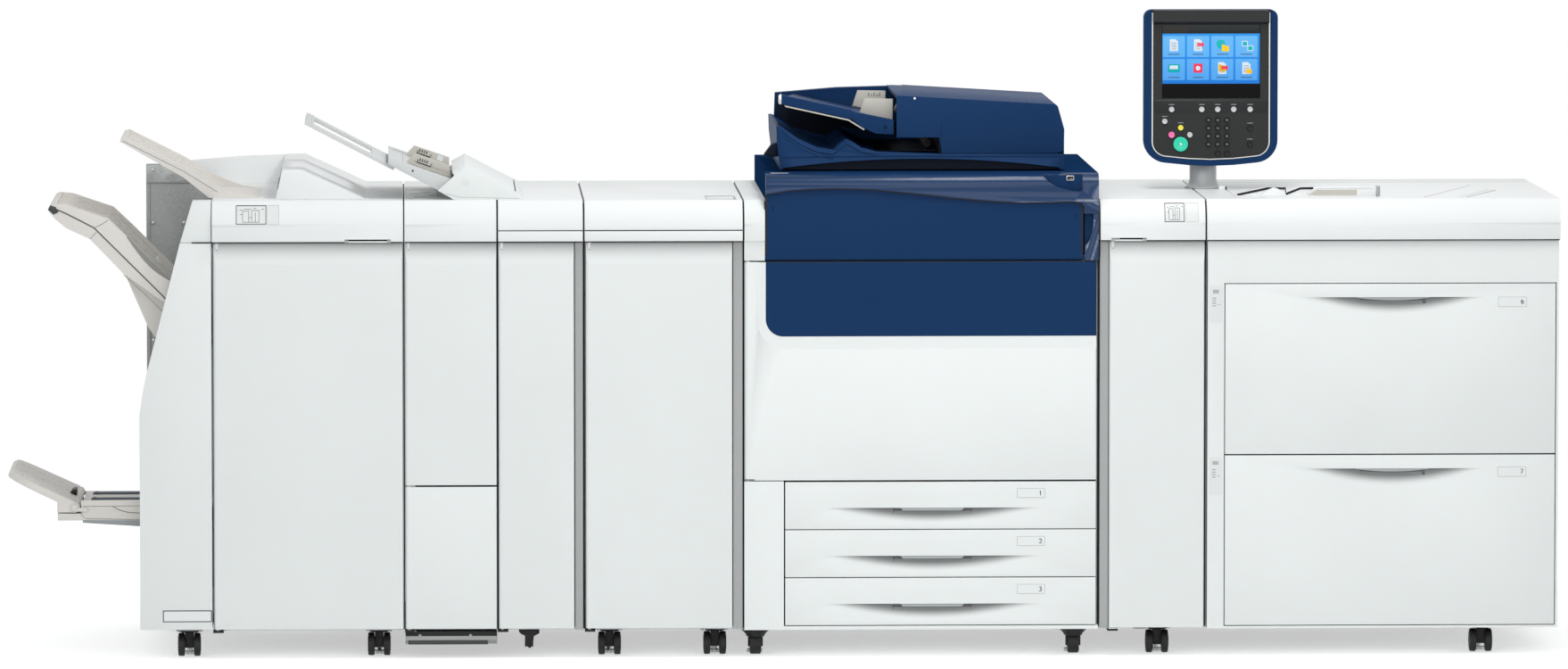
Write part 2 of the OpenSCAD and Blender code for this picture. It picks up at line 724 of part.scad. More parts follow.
module feed_cover() {
  axis = feed_hinge;
  top = deck_h + 220;
  color(blue) translate([engine_x0, 0, 0]) {
    difference() {
      along_y(adf_y0, adf_y1, concat([[332, deck_h + 130], [332, top], [347, top], [676, top - 19],
        [681, top - 23]], arc(axis[0], axis[1], 17, 0, -90)));
      along_y(adf_y0 + 6, adf_y1 - 6, [[331, deck_h + 129], [331, top - 6], [347, top - 6],
        [670, top - 25], [674, top - 28], [688, axis[1]], [689, deck_h + 129]]);
      block(331, 366, adf_y1 - 36, adf_y1 + 1, deck_h + 129, top + 1);
      for (y = [adf_y0 + 18, adf_y1 - 34])
        block(660, 700, y, y + 16, deck_h + 125, axis[1] + 10);
      for (y = [adf_y0 + 2, adf_y1 - 8])
        bar_y(axis[0], y, y + 6, axis[1], 3 + pin_gap);
    }
    along_y(adf_y0, adf_y0 + skirt_t, [[424, deck_h + 131], [430, rim_z + 1.2], [678, rim_z + 1.2],
      [694, rim_z + 6.5], [695, axis[1]], [670, axis[1]]]);
    for (y = [adf_y0 + 6, adf_y1 - 15])
      difference() {
        bar_y(axis[0], y, y + 9, axis[1], 10);
        bar_y(axis[0], y - 1, y + 10, axis[1], 3 + pin_gap);
      }
  }
}

module document_tray() {
  y1 = adf_y1 - 37;
  color(blue) translate([engine_x0, 0, 0]) difference() {
    intersection() {
      along_y(adf_y0, y1, [[78, deck_h + 220], [82, deck_h + 223], [230, deck_h + 191],
        [244, deck_h + 185], [326, deck_h + 168], [326, deck_h + 136], [287, deck_h + 138],
        [256, deck_h + 152], [235, deck_h + 169], [78, deck_h + 203]]);
      linear_extrude(deck_h + 240)
        polygon([[70, adf_y0], [330, adf_y0], [330, y1], [126, y1], [78, adf_y0 + 80]]);
    }
    along_y(adf_y0 + 20, y1 + 1, [[70, deck_h + 240], [70, deck_h + 212.7], [330, deck_h + 158],
      [330, deck_h + 240]]);
    bar_y(tray_hinge[0], adf_y0 - 1, y1 + 1, tray_hinge[1], 4 + pin_gap);
  }
}

module document_guide(y) {
  color(beige) translate([engine_x0, 0, 0])
    along_y(y, y + 8, [[253, deck_h + 175], [265, deck_h + 211], [327, deck_h + 210],
      [327, deck_h + 159.5]]);
}

module document_front_guide() {
  document_guide(-208);
}

module document_rear_guide() {
  document_guide(142);
}

// A drawer front with its scoop and the pocket behind the grip lip
scoop_d = 15;
module drawer_front(x0, x1, z0, z1, grip_x, grip_z, half_w, sag) {
  scoop_r = (half_w * half_w + sag * sag) / (2 * sag);
  grip_w = half_w * 0.36;
  difference() {
    block(x0, x1, door_y, door_y + 24, z0, z1);
    intersection() {
      translate([grip_x, door_y - 0.01, grip_z - sag + scoop_r]) rotate([-90, 0, 0])
        cylinder(h = scoop_d, r1 = scoop_r, r2 = scoop_r - sag, $fn = 200);
      block(grip_x - half_w - 5, grip_x + half_w + 5, door_y - 1, door_y + 30, z0, grip_z);
    }
    block(grip_x - grip_w, grip_x + grip_w, door_y + 5, door_y + scoop_d, grip_z - 14, grip_z + 12);
  }
}

// An open box behind a drawer front
module drawer_box(x0, x1, z0, z1) {
  y0 = door_y + 23;
  difference() {
    block(x0, x1, y0, y0 + drawer_d, z0, z1);
    block(x0 + 4, x1 - 4, door_y + 28, y0 + drawer_d - 4, z0 + 4, z1 + 1);
  }
}

module engine_drawer(i) {
  z0 = drawer_z0[i];
  color(white) {
    drawer_front(drawer_x0, drawer_x1, z0, z0 + drawer_h, drawer_x0 + 318, z0 + 46, 234, 36);
    drawer_box(drawer_x0 + 18, drawer_x1 - 14, z0 + 5.5, z0 + 86);
  }
}

module tray_1() {
  engine_drawer(0);
}

module tray_2() {
  engine_drawer(1);
}

module tray_3() {
  engine_drawer(2);
}

// Interface module
interface_strip_w = 19;
module interface_frame() {
  color(white) {
    cabinet(interface_x0, interface_x1, fascia_z);
    low_hinge(interface_x0 + interface_strip_w);
    side_strip(interface_x0, interface_x0 + interface_strip_w - 1);
    for (x = [60, 110, 160])
      bar_y(interface_x0 + x, frame_y + 20, back_y - wall, 600, 14);
  }
}

module interface_top_cover() {
  color(white) {
    difference() {
      top_cover(interface_x0, interface_x1);
      grip_notch(interface_x0 + 23, interface_x0 + 99);
    }
    high_hinge(interface_x0 + interface_strip_w, fascia_z);
  }
}

module interface_door() {
  color(white) door(interface_x0 + interface_strip_w, interface_x1 - 1, door_z - 2, door_top_z);
}

// Control panel
module panel_post() {
  color(silver) {
    translate([post_x, post_y, deck_h]) rotate_extrude()
      polygon([[0, -20], [14, -20], [14, 0.5], [40, 0.5], [40, 4], [33, 9], [29.5, 20],
        [29.5, tilt_z - deck_h - 40], [0, tilt_z - deck_h - 40]]);
    along_x(post_x - 20, post_x + 20, concat([[post_y - 14, tilt_z - 50], [post_y + 14, tilt_z - 50]],
      arc(post_y, tilt_z, 14, 0, 180)));
    bar_x(post_x - 36, post_x + 36, post_y, tilt_z, 6);
  }
}

// Outline of the panel with small upper and large lower corners and a bowed lower edge
function panel_outline(g, top) = let (x = panel_w / 2 - g, z0 = panel_z + 7 + g * 0.8, r = 50 - g) concat(
  arc(panel_x + x - r, z0 + r, r, -84, 0), arc(panel_x + x - 17, top - 17, 17, 0, 90, 5),
  arc(panel_x - x + 17, top - 17, 17, 90, 180, 5), arc(panel_x - x + r, z0 + r, r, 180, 264),
  [[panel_x - 50, z0 - 5], [panel_x, z0 - 7], [panel_x + 50, z0 - 5]]);

face_d = 20;
module panel_shell() {
  top = panel_z + panel_h;
  color(blue) difference() {
    union() {
      along_y(panel_y0, panel_y1, panel_outline(0, top));
      for (x = [post_x - 34, post_x + 22])
        along_x(x, x + 12, concat([[panel_y1 - 1, tilt_z - 20], [post_y, tilt_z - 13]],
          arc(post_y, tilt_z, 13, -80, 90), [[panel_y1 - 1, tilt_z + 24]]));
    }
    along_y(panel_y0 - 1, panel_y0 + face_d, panel_outline(face_inset, top + 40));
    for (x = [post_x - 35, post_x + 21])
      bar_x(x, x + 14, post_y, tilt_z, 6 + pin_gap);
  }
}

// Screen opening and keys on the face, in the panel's own places
screen_x0 = panel_x - 107;
screen_x1 = panel_x + 108;
screen_z0 = panel_z + 148;
screen_z1 = panel_z + 309;
key_y = panel_y0 - 4;
well_y = panel_y0 + 6;
start_pos = [panel_x - 66, panel_z + 48];
stop_pos = [panel_x - 86, panel_z + 68.5];
keypad_pitch = [20.2, 17.6];
keys = concat(
  [for (i = [0:2]) for (j = [0:3]) [keypad_x + (i - 1) * keypad_pitch[0], keypad_z + j * keypad_pitch[1]]],
  [[keypad_x, panel_z + 27.5], [keypad_x + keypad_pitch[0], panel_z + 27.5]],
  [for (x = [-86, -20, 15, 50, 86]) [panel_x + x, panel_z + 124]],
  [[panel_x - 101, panel_z + 98], [panel_x - 66, panel_z + 84], [panel_x - 46, panel_z + 68.5],
    [panel_x + 86, panel_z + 83], [panel_x + 86, panel_z + 48]]);

module key(pos, r) {
  bar_y(pos[0], key_y, well_y - key_travel - 0.5, pos[1], r);
}

module panel_face() {
  top = panel_z + panel_h;
  color([0.2, 0.2, 0.21]) difference() {
    union() {
      intersection() {
        along_y(panel_y0, panel_y0 + face_d - 0.5, panel_outline(face_inset + 1.5, top + 40));
        block(panel_x - panel_w, panel_x + panel_w, panel_y0 - 30, panel_y1, panel_z, top - 0.5);
      }
      along_x(panel_x - panel_w / 2 + face_inset + 1.5, panel_x + panel_w / 2 - face_inset - 1.5,
        [[panel_y0 - 16, top - 0.5], [panel_y0 - 16, top - 26], [panel_y0 + 1, top - 32],
          [panel_y0 + 1, top - 0.5]]);
    }
    block(screen_x0, screen_x1, panel_y0 - 1, panel_y0 + 8, screen_z0, screen_z1);
    for (p = keys)
      bar_y(p[0], panel_y0 - 1, well_y, p[1], key_r + 0.4);
    bar_y(start_pos[0], panel_y0 - 1, well_y, start_pos[1], start_r + 0.4);
    bar_y(stop_pos[0], panel_y0 - 1, well_y, stop_pos[1], key_r + 1.4);
  }
}

module touch_screen() {
  color([0.2, 0.55, 0.9]) block(screen_x0 + 0.3, screen_x1 - 0.3, panel_y0 + 4, panel_y0 + 8, screen_z0 + 0.3,
    screen_z1 - 0.3);
}

module start_key() {
  color([0, 0.85, 0.6]) key(start_pos, start_r);
}

module stop_key() {
  color([1, 0.5, 0.7]) key(stop_pos, key_r + 1);
}

module panel_keys() {
  color(silver) for (p = keys) key(p, key_r);
}

// Paper feeder
bin_x0 = feeder_x0 + 40;
bin_x1 = feeder_x1 - 9;
bin_z0 = [67, 67 + bin_h + 3];
band_z = bin_z0[1] + bin_h + 2;

module feeder_frame() {
  color(white) {
    cabinet(feeder_x0, feeder_x1 - 2, fascia_z);
    block(feeder_x0 + 2, bin_x0 - 2, door_y, frame_y + 1, body_z, band_z + 2);
    block(bin_x0 - 8, bin_x0 - 2, frame_y, 260, body_z, band_z);
    block(bin_x1 + 2, feeder_x1 - 2, door_y, frame_y + 1, body_z, band_z + 2);
    block(feeder_x0 + 2, feeder_x1 - 2, door_y, frame_y + 1, body_z, bin_z0[0] - 2);
    along_x(feeder_x0 + 2, feeder_x1 - 2, [[door_y, band_z], [door_y, crease_z], [door_y + 6, fascia_z],
      [frame_y + 1, fascia_z], [frame_y + 1, band_z]]);
    for (z = bin_z0) {
      block(bin_x0 - 3, bin_x0 + 26, frame_y, 240, z + 1, z + 5);
      block(bin_x1 - 20, feeder_x1 - wall - 1, frame_y, 240, z + 1, z + 5);
    }
  }
}

module feeder_top_cover() {
  pan = [bin_x0 + 28, bin_x0 + 338, -302, 18];
  color(white) {
    difference() {
      union() {
        top_cover(feeder_x0, feeder_x1);
        block(pan[0] - 8, pan[1] + 8, pan[2] - 8, pan[3] + 8, deck_h - 22, deck_h - 5);
        translate([post_x, post_y, deck_h - 22]) cylinder(h = 18, r = 19);
      }
      block(pan[0], pan[1], pan[2], pan[3], deck_h - 15, deck_h + 1);
      translate([post_x, post_y, deck_h - 23]) cylinder(h = 24, r = 14 + pin_gap);
    }
  }
}

module feeder_bin(i) {
  z0 = bin_z0[i];
  mid = (bin_x0 + bin_x1) / 2 + 6;
  color(white) {
    drawer_front(bin_x0, bin_x1, z0, z0 + bin_h, mid, z0 + bin_h - 29, 195, 40);
    drawer_box(bin_x0 + 18, bin_x1 - 14, z0 + 5.5, z0 + 280);
  }
}

module lower_drawer() {
  feeder_bin(0);
}

module upper_drawer() {
  feeder_bin(1);
}

// Casters: twin wheels on a central leg, or a wide wheel between two legs
twin_gap = 10;
twin_w = 14;
wide_w = 24;

module caster_fork(x, y, wide) {
  half = wide ? wide_w / 2 + 1 : twin_gap - 0.6;
  arm = wide ? 3 : 0;
  block(x - 26, x + 26, y - 26, y + 26, body_z - 5, body_z);
  translate([x, y, axle_z + wheel_r + 1.5]) cylinder(h = body_z - axle_z - wheel_r - 2, r1 = 19, r2 = 25);
  if (wide) {
    for (s = [-1, 1])
      translate([x + s * (half + arm / 2) - arm / 2, y, 0])
        along_x(0, arm, concat([[-12, axle_z + wheel_r + 3]], arc(0, axle_z, 9, 180, 360),
          [[12, axle_z + wheel_r + 3]]));
    bar_x(x - half - arm, x + half + arm, y, axle_z, axle_r);
  } else {
    translate([0, y, 0]) along_x(x - half, x + half, concat([[-14, axle_z + wheel_r + 3]],
      arc(0, axle_z, 8, 180, 360), [[14, axle_z + wheel_r + 3]]));
    bar_x(x - twin_gap - twin_w, x + twin_gap + twin_w, y, axle_z, axle_r);
  }
}

module wheel(x0, x1, y) {
  difference() {
    bar_x(x0, x1, y, axle_z, wheel_r);
    bar_x(x0 - 1, x1 + 1, y, axle_z, axle_r + pin_gap);
  }
}

module wheel_row(y) {
  color(black) {
    for (x = caster_x) {
      wheel(x - twin_gap - twin_w, x - twin_gap, y);
      wheel(x + twin_gap, x + twin_gap + twin_w, y);
    }
    for (x = engine_caster_x)
      wheel(x - wide_w / 2, x + wide_w / 2, y);
  }
}

module caster_forks() {
  foot_x = transport_x0 + 66;
  color(black) {
    for (y = [front_row_y, rear_row_y]) {
      for (x = caster_x)
        caster_fork(x, y, false);
      for (x = engine_caster_x)
        caster_fork(x, y, true);
    }
    block(foot_x - 22, foot_x + 22, door_y + 50, door_y + 95, body_z - 8, body_z);
    translate([0, door_y + 72, 0]) along_x(foot_x - 9, foot_x + 9, concat([[-14, body_z - 7]],
      arc(4, 32, 14, 180, 360), [[14, body_z - 7]]));
  }
}

module front_wheels() {
  wheel_row(front_row_y);
}

module rear_wheels() {
  wheel_row(rear_row_y);
}

module levelling_feet() {
  color(metal) for (x = concat(caster_x, engine_caster_x)) for (s = [-1, 1])
    translate([x, s * (rear_row_y - foot_inset), 0]) {
      cylinder(h = body_z, r = 6);
      cylinder(h = 6, r = foot_r);
    }
}

finisher_frame();
finisher_left_cover();
finisher_top_cover();
output_hood();
finisher_rear_panel();
top_output_tray();
booklet_tray();
booklet_stop();
finisher_door();
stacker_tray();
folder_frame();
folder_top_cover();
folder_upper_door();
folder_lower_door();
inserter_body();
inserter_cover();
inserter_tray();
inserter_extension();
inserter_front_guide();
inserter_rear_guide();
transport_frame();
transport_top_cover();
transport_door();
trimmer_frame();
trimmer_top_cover();
trimmer_door();
engine_frame();
engine_door();
door_panel();
toner_cover();
toner_cartridges();
imaging_unit();
scanner_housing();
platen_glass();
document_feeder();
feed_cover();
document_tray();
document_front_guide();
document_rear_guide();
tray_1();
tray_2();
tray_3();
interface_frame();
interface_top_cover();
interface_door();
panel_post();
panel_shell();
panel_face();
touch_screen();
start_key();
stop_key();
panel_keys();
feeder_frame();
feeder_top_cover();
upper_drawer();
lower_drawer();
caster_forks();
front_wheels();
rear_wheels();
levelling_feet();
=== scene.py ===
"""Digital production printer: the looks of a line of docked modules, built round its fixed frame.

Shapes are drawn in millimetres in the frame's own axes: +X along the line, the front faces -Y, +Z up.
Materials, lamps and the camera use metres.
"""

from __future__ import annotations

import json
import logging
import math
from dataclasses import dataclass, field
from enum import Enum
from typing import Iterable, Sequence, Union

import bmesh
import bpy
from mathutils import Matrix, Vector

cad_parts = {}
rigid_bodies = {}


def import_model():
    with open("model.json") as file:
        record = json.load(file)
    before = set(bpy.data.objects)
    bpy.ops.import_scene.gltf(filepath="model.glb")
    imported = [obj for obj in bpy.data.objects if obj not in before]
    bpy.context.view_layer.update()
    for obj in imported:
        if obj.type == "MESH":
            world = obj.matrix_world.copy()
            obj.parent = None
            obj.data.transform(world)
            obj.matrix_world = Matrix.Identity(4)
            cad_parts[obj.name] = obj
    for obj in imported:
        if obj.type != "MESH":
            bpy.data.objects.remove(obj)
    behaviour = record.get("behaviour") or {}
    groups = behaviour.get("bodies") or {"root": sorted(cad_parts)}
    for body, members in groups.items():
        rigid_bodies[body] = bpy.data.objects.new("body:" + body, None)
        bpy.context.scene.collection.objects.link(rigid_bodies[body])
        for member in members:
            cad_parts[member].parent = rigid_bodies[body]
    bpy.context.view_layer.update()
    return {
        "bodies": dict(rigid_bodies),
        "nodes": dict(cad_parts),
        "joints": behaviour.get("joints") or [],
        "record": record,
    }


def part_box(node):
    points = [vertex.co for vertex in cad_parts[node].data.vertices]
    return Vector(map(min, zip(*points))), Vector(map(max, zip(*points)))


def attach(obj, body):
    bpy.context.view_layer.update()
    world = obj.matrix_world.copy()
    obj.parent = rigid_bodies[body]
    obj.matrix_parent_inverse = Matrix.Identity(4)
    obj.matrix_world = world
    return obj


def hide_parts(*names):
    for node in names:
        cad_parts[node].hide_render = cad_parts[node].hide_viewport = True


LOG = logging.getLogger("printer")
MM = 0.001
# Segments of a bevel, and the least angles in degrees of a bevelled edge, a bevelled rim and a sharp edge.
BEVEL_STEPS = 2
EDGE_ANGLE = 35.0
RIM_ANGLE = 50.0
SMOOTH_ANGLE = 30.0
# Points nearer than this many millimetres are one point.
MEETING = 1e-3
Colour = tuple[float, float, float]
Point = tuple[float, float]
Value = Union["Wire", float, int, tuple]


class Axis(Enum):
    """The direction along which an outline is drawn out, and the two axes that it is drawn in."""

    X = (0, 1, 2)
    Y = (1, 0, 2)
    Z = (2, 0, 1)


class Role(Enum):
    """The record's material slots, one of which each finish names."""

    WHITE = "body_white"
    BEIGE = "tray_beige"
    BLUE = "engine_blue"
    METAL = "sheet_metal"
    BLACK = "black_plastic"
    RUBBER = "wheel_rubber"
    GLASS = "glass"
    POST = "post_silver"
    FACE = "face_grey"
    SCREEN = "screen"
    START = "start_green"
    STOP = "stop_pink"
    KEY = "key_silver"


class Wire:
    """A shader socket that adds, multiplies and compares like a number."""

    def __init__(self, graph: "Graph", socket: bpy.types.NodeSocket) -> None:
        """Holds a socket of a graph."""
        self.graph = graph
        self.socket = socket

    def maths(self, operation: str, *values: Value) -> "Wire":
        """A Math node on the given values.

        Args:
            operation: The node's operation, such as MULTIPLY.
            values: Its inputs, in order.

        Returns:
            The result.
        """
        return self.graph.node("Math", {"operation": operation}, dict(enumerate(values)))

    def __add__(self, other: Value) -> "Wire":
        """This plus other."""
        return self.maths("ADD", self, other)

    __radd__ = __add__

    def __sub__(self, other: Value) -> "Wire":
        """This minus other."""
        return self.maths("SUBTRACT", self, other)

    def __rsub__(self, other: Value) -> "Wire":
        """Other minus this."""
        return self.maths("SUBTRACT", other, self)

    def __mul__(self, other: Value) -> "Wire":
        """This times other."""
        return self.maths("MULTIPLY", self, other)

    __rmul__ = __mul__

    def __gt__(self, other: Value) -> "Wire":
        """1 where this is greater than other, else 0."""
        return self.maths("GREATER_THAN", self, other)


class Graph:
    """The node tree of one material."""

    def __init__(self, name: str) -> None:
        """Starts an empty material of that name."""
        self.material = bpy.data.materials.new(name)
        self.material.use_nodes = True
        self.tree = self.material.node_tree
        self.tree.nodes.clear()

    def node(self, kind: str, settings: dict | None = None, inputs: dict | None = None,
            output: int | str = 0) -> Wire:
        """Makes one shader node.

        Args:
            kind: The node's type, without its ShaderNode prefix.
            settings: Properties, set first.
            inputs: Values or links by socket name or number.
            output: The output that is handed on.

        Returns:
            That output as a wire.
        """
        made = self.tree.nodes.new("ShaderNode" + kind)
        for key, value in (settings or {}).items():
            setattr(made, key, value)
        for key, value in (inputs or {}).items():
            if isinstance(value, Wire):
                self.tree.links.new(value.socket, made.inputs[key])
            elif isinstance(value, tuple) and len(value) == 3 and made.inputs[key].type == "RGBA":
                made.inputs[key].default_value = (*value, 1.0)
            else:
                made.inputs[key].default_value = value
        return Wire(self, made.outputs[output])

    def place(self) -> Wire:
        """The point on the object, in metres in the frame."""
        return self.node("TexCoord", output="Object")

    def noise(self, size: float, detail: float = 2.0, stretch: Sequence[float] = (1, 1, 1)) -> Wire:
        """Soft noise from 0 to 1.

        Args:
            size: The size of its blobs in metres.
            detail: Its octaves.
            stretch: Scale along each axis, where a smaller one draws the blobs out.

        Returns:
            The noise's factor.
        """
        at = self.node("Mapping", inputs={"Vector": self.place(), "Scale": tuple(stretch)})
        return self.node("TexNoise", inputs={"Vector": at, "Scale": 1.0 / size, "Detail": detail})

    def mix(self, factor: Value, low: Value, high: Value) -> Wire:
        """A colour between low and high."""
        return self.node("Mix", {"data_type": "RGBA"}, {0: factor, 6: low, 7: high}, output=2)

    def bump(self, height: Wire, depth: float, strength: float = 1.0) -> Wire:
        """The normal that a height map gives.

        Args:
            height: The map, from 0 to 1.
            depth: The height in metres that 1 stands for.
            strength: How much of it shows.

        Returns:
            The normal.
        """
        return self.node("Bump", inputs={"Height": height, "Distance": depth, "Strength": strength})

    def surface(self, sockets: dict) -> bpy.types.Material:
        """Ends the graph in a Principled shader with those sockets and returns the material."""
        shader = self.node("BsdfPrincipled", inputs=sockets)
        self.node_output(shader)
        return self.material

    def node_output(self, shader: Wire) -> None:
        """Links a shader to the material's output."""
        out = self.tree.nodes.new("ShaderNodeOutputMaterial")
        self.tree.links.new(shader.socket, out.inputs["Surface"])


@dataclass(frozen=True)
class Moulded:
    """Moulded plastic: fine spark-eroded grain, a little mottling in colour and gloss, optional painted
    recess shade.
    """

    name: str
    role: Role
    colour: Colour
    roughness: float = 0.45
    grain: float = 0.9 * MM
    depth: float = 0.006 * MM
    mottle: float = 0.03
    specular: float = 0.4
    coat: float = 0.0
    coat_roughness: float = 0.06
    recess_shade: float = 0.0
    front: float = -365 * MM
    sunk: float = 10 * MM
    deepest: float = 17 * MM
    coat_end: float = 0.0

    def material(self) -> bpy.types.Material:
        """Builds the material."""
        graph = Graph(self.name)
        cloud = graph.noise(0.22, 3.0)
        dark = tuple(c * (1.0 - self.mottle) for c in self.colour)
        pale = tuple(min(1.0, c * (1.0 + self.mottle)) for c in self.colour)
        fine = graph.noise(self.grain, 2.0)
        tone = graph.mix(cloud, dark, pale)
        # Painted shade: the colour darkens with depth behind the front plane, fully at sunk, and is plain
        # again past deepest.
        if self.recess_shade:
            depth = graph.node("SeparateXYZ", inputs={"Vector": graph.place()}, output="Y") - self.front
            sunk = graph.node("MapRange", {"interpolation_type": "SMOOTHSTEP"},
                {"Value": depth, "From Min": 0.8 * MM, "From Max": self.sunk})
            sunk = sunk * (1.0 - (depth > self.deepest)) * self.recess_shade
            tone = graph.mix(sunk, tone, tuple(c * 0.2 for c in self.colour))
        coat: Value = self.coat
        if self.coat_end:
            at = graph.node("SeparateXYZ", inputs={"Vector": graph.place()}, output="Y")
            coat = self.coat * (1 - (at > self.coat_end))
        return graph.surface({
            "Base Color": tone,
            "Roughness": self.roughness - 0.05 + 0.1 * fine,
            "Specular IOR Level": self.specular,
            "Coat Weight": coat,
            "Coat Roughness": self.coat_roughness,
            "Normal": graph.bump(fine, self.depth, 0.6),
        })


@dataclass(frozen=True)
class Galvanised:
    """Galvanised sheet: large and small crystal spangles in two greys."""

    name: str
    role: Role = Role.METAL
    colour: Colour = (0.17, 0.19, 0.185)
    spangle: float = 5 * MM
    metallic: float = 0.45

    def material(self) -> bpy.types.Material:
        """Builds the material."""
        graph = Graph(self.name)
        cells = graph.node("TexVoronoi", inputs={"Vector": graph.place(), "Scale": 1.0 / self.spangle},
            output="Color")
        tone = graph.node("SeparateColor", inputs={"Color": cells})
        dark = tuple(c * 0.84 for c in self.colour)
        pale = tuple(c * 1.18 for c in self.colour)
        rough = 0.38 + 0.2 * tone
        return graph.surface({
            "Base Color": graph.mix(tone, dark, pale),
            "Metallic": self.metallic,
            "Roughness": rough,
            "Normal": graph.bump(graph.noise(0.6 * MM), 0.01 * MM),
        })


@dataclass(frozen=True)
class Brushed:
    """Brushed or drawn metal with streaks along one axis."""

    name: str
    role: Role
    colour: Colour = (0.55, 0.56, 0.57)
    along: Axis = Axis.X
    roughness: float = 0.32
    metallic: float = 1.0

    def material(self) -> bpy.types.Material:
        """Builds the material."""
        graph = Graph(self.name)
        stretch = [1.0, 1.0, 1.0]
        stretch[self.along.value[0]] = 0.02
        streak = graph.noise(0.5 * MM, 3.0, stretch)
        dark = tuple(c * 0.85 for c in self.colour)
        return graph.surface({
            "Base Color": graph.mix(streak, dark, self.colour),
            "Metallic": self.metallic,
            "Roughness": self.roughness - 0.06 + 0.12 * streak,
            "Normal": graph.bump(streak, 0.005 * MM),
        })


@dataclass(frozen=True)
class ClearGlass:
    """Clear float glass with faint wipe marks."""

    name: str
    role: Role = Role.GLASS
    colour: Colour = (0.86, 0.95, 0.93)

    def material(self) -> bpy.types.Material:
        """Builds the material."""
        graph = Graph(self.name)
        marks = graph.noise(0.04, 4.0, (1, 0.3, 1))
        return graph.surface({
            "Base Color": graph.mix(marks, self.colour, (0.9, 0.97, 0.96)),
            "Roughness": 0.02 + 0.04 * marks,
            "Alpha": 0.35 + 0.1 * marks,
            "Coat Weight": 0.5,
        })


@dataclass(frozen=True)
class Lit:
    """A lit area of the display, with a slow change of tone down its height."""

    name: str
    low: Colour
    high: Colour
    z0: float
    z1: float
    role: Role = Role.SCREEN
    glow: float = 0.8

    def material(self) -> bpy.types.Material:
        """Builds the material."""
        graph = Graph(self.name)
        z = graph.node("SeparateXYZ", inputs={"Vector": graph.place()}, output="Z")
        span = graph.node("MapRange", inputs={"Value": z, "From Min": self.z0, "From Max": self.z1})
        tone = graph.mix(span, self.low, self.high)
        return graph.surface({
            "Base Color": tone,
            "Specular IOR Level": 0.1,
            "Emission Color": tone,
            "Emission Strength": self.glow,
            "Roughness": 0.25 + 0.05 * graph.noise(2 * MM),
        })


Finish = Union[Moulded, Galvanised, Brushed, ClearGlass, Lit]

SHELL = Moulded("shell_white", Role.WHITE, (0.755, 0.785, 0.775), 0.42, specular=0.14)
# Door and drawer fronts: white, with painted shade that darkens the scoops, the leaning tops and the edges
# behind the front plane.
FRONT_PAINTED_SHADE = Moulded("front_white_painted_shade", Role.WHITE, (0.755, 0.785, 0.775), 0.42, recess_shade=0.85, specular=0.14)
COVER = Moulded("cover_white", Role.WHITE, (0.79, 0.805, 0.80), 0.42, specular=0.1)
# Mid grey for small grey parts, and painted shade on the strips of white frame beside the doors.
GREY_AND_SHADE = Moulded("grey_and_painted_shade", Role.WHITE, (0.37, 0.38, 0.375), 0.5)
TRAY = Moulded("tray_white", Role.WHITE, (0.60, 0.62, 0.615), 0.42, specular=0.14)
GRIP = Moulded("grip_grey", Role.WHITE, (0.42, 0.44, 0.44), 0.5, grain=1.6 * MM, depth=0.2 * MM)
INNER = Moulded("inner_grey", Role.WHITE, (0.30, 0.32, 0.33), 0.5, mottle=0.06)
LABEL = Moulded("label_film", Role.WHITE, (0.70, 0.73, 0.72), 0.3, depth=0.005 * MM)
INK = Moulded("print_grey", Role.BLACK, (0.035, 0.035, 0.04), 0.5, depth=0.002 * MM)
FAINT = Moulded("print_pale", Role.WHITE, (0.40, 0.41, 0.41), 0.5, depth=0.002 * MM)
BEIGE = Moulded("tray_beige", Role.BEIGE, (0.675, 0.65, 0.61), 0.48, mottle=0.04)
SHADE = Moulded("beige_shade", Role.BEIGE, (0.24, 0.235, 0.225), 0.5, mottle=0.04)
GUIDE = Moulded("guide_beige", Role.BEIGE, (0.50, 0.48, 0.43), 0.42, mottle=0.04)
BLUE = Moulded("engine_blue", Role.BLUE, (0.010, 0.036, 0.105), 0.44, mottle=0.05, specular=0.03)
GLOSS = Moulded("gloss_blue", Role.BLUE, (0.008, 0.033, 0.098), 0.3, depth=0.002 * MM, specular=0.0, coat=0.5,
    coat_roughness=0.2, coat_end=-345 * MM)
# Near-black blue of small dark parts, also painted shade on the floor of the base's arched recess.
DEEP = Moulded("deep_blue", Role.BLUE, (0.003, 0.006, 0.014), 0.6, mottle=0.05, specular=0.1)
METAL = Galvanised("galvanised", colour=(0.27, 0.28, 0.275), spangle=2.2 * MM)
SMOOTH = Galvanised("zinc_smooth", colour=(0.40, 0.42, 0.41), spangle=9 * MM, metallic=0.35)
STEEL = Brushed("bright_steel", Role.METAL)
TRIM = Brushed("silver_trim", Role.FACE, (0.62, 0.61, 0.59), roughness=0.28)
POST = Moulded("post_grey", Role.POST, (0.47, 0.48, 0.48), 0.36, coat=0.2)
# Black plastic, also used for painted shadow strips in gaps, in recesses and under the fascias.
BLACK = Moulded("black_plastic", Role.BLACK, (0.010, 0.010, 0.011), 0.45, mottle=0.1, specular=0.25)
SKIRT = Moulded("skirt_grey", Role.BLACK, (0.040, 0.044, 0.044), 0.5, mottle=0.1)
# Dark grey of the latch and the louvres; also painted shadow deep in the finisher's side gap and along the
# stacker's split line.
GAP = Moulded("gap_grey", Role.WHITE, (0.10, 0.105, 0.11), 0.6, mottle=0.1, specular=0.1)
TYRE = Moulded("wheel_rubber", Role.RUBBER, (0.008, 0.008, 0.009), 0.62, depth=0.08 * MM, mottle=0.12)
BELT = Moulded("belt_rubber", Role.RUBBER, (0.045, 0.07, 0.09), 0.6, depth=0.05 * MM, mottle=0.1)
GLASS = ClearGlass("platen_glass")
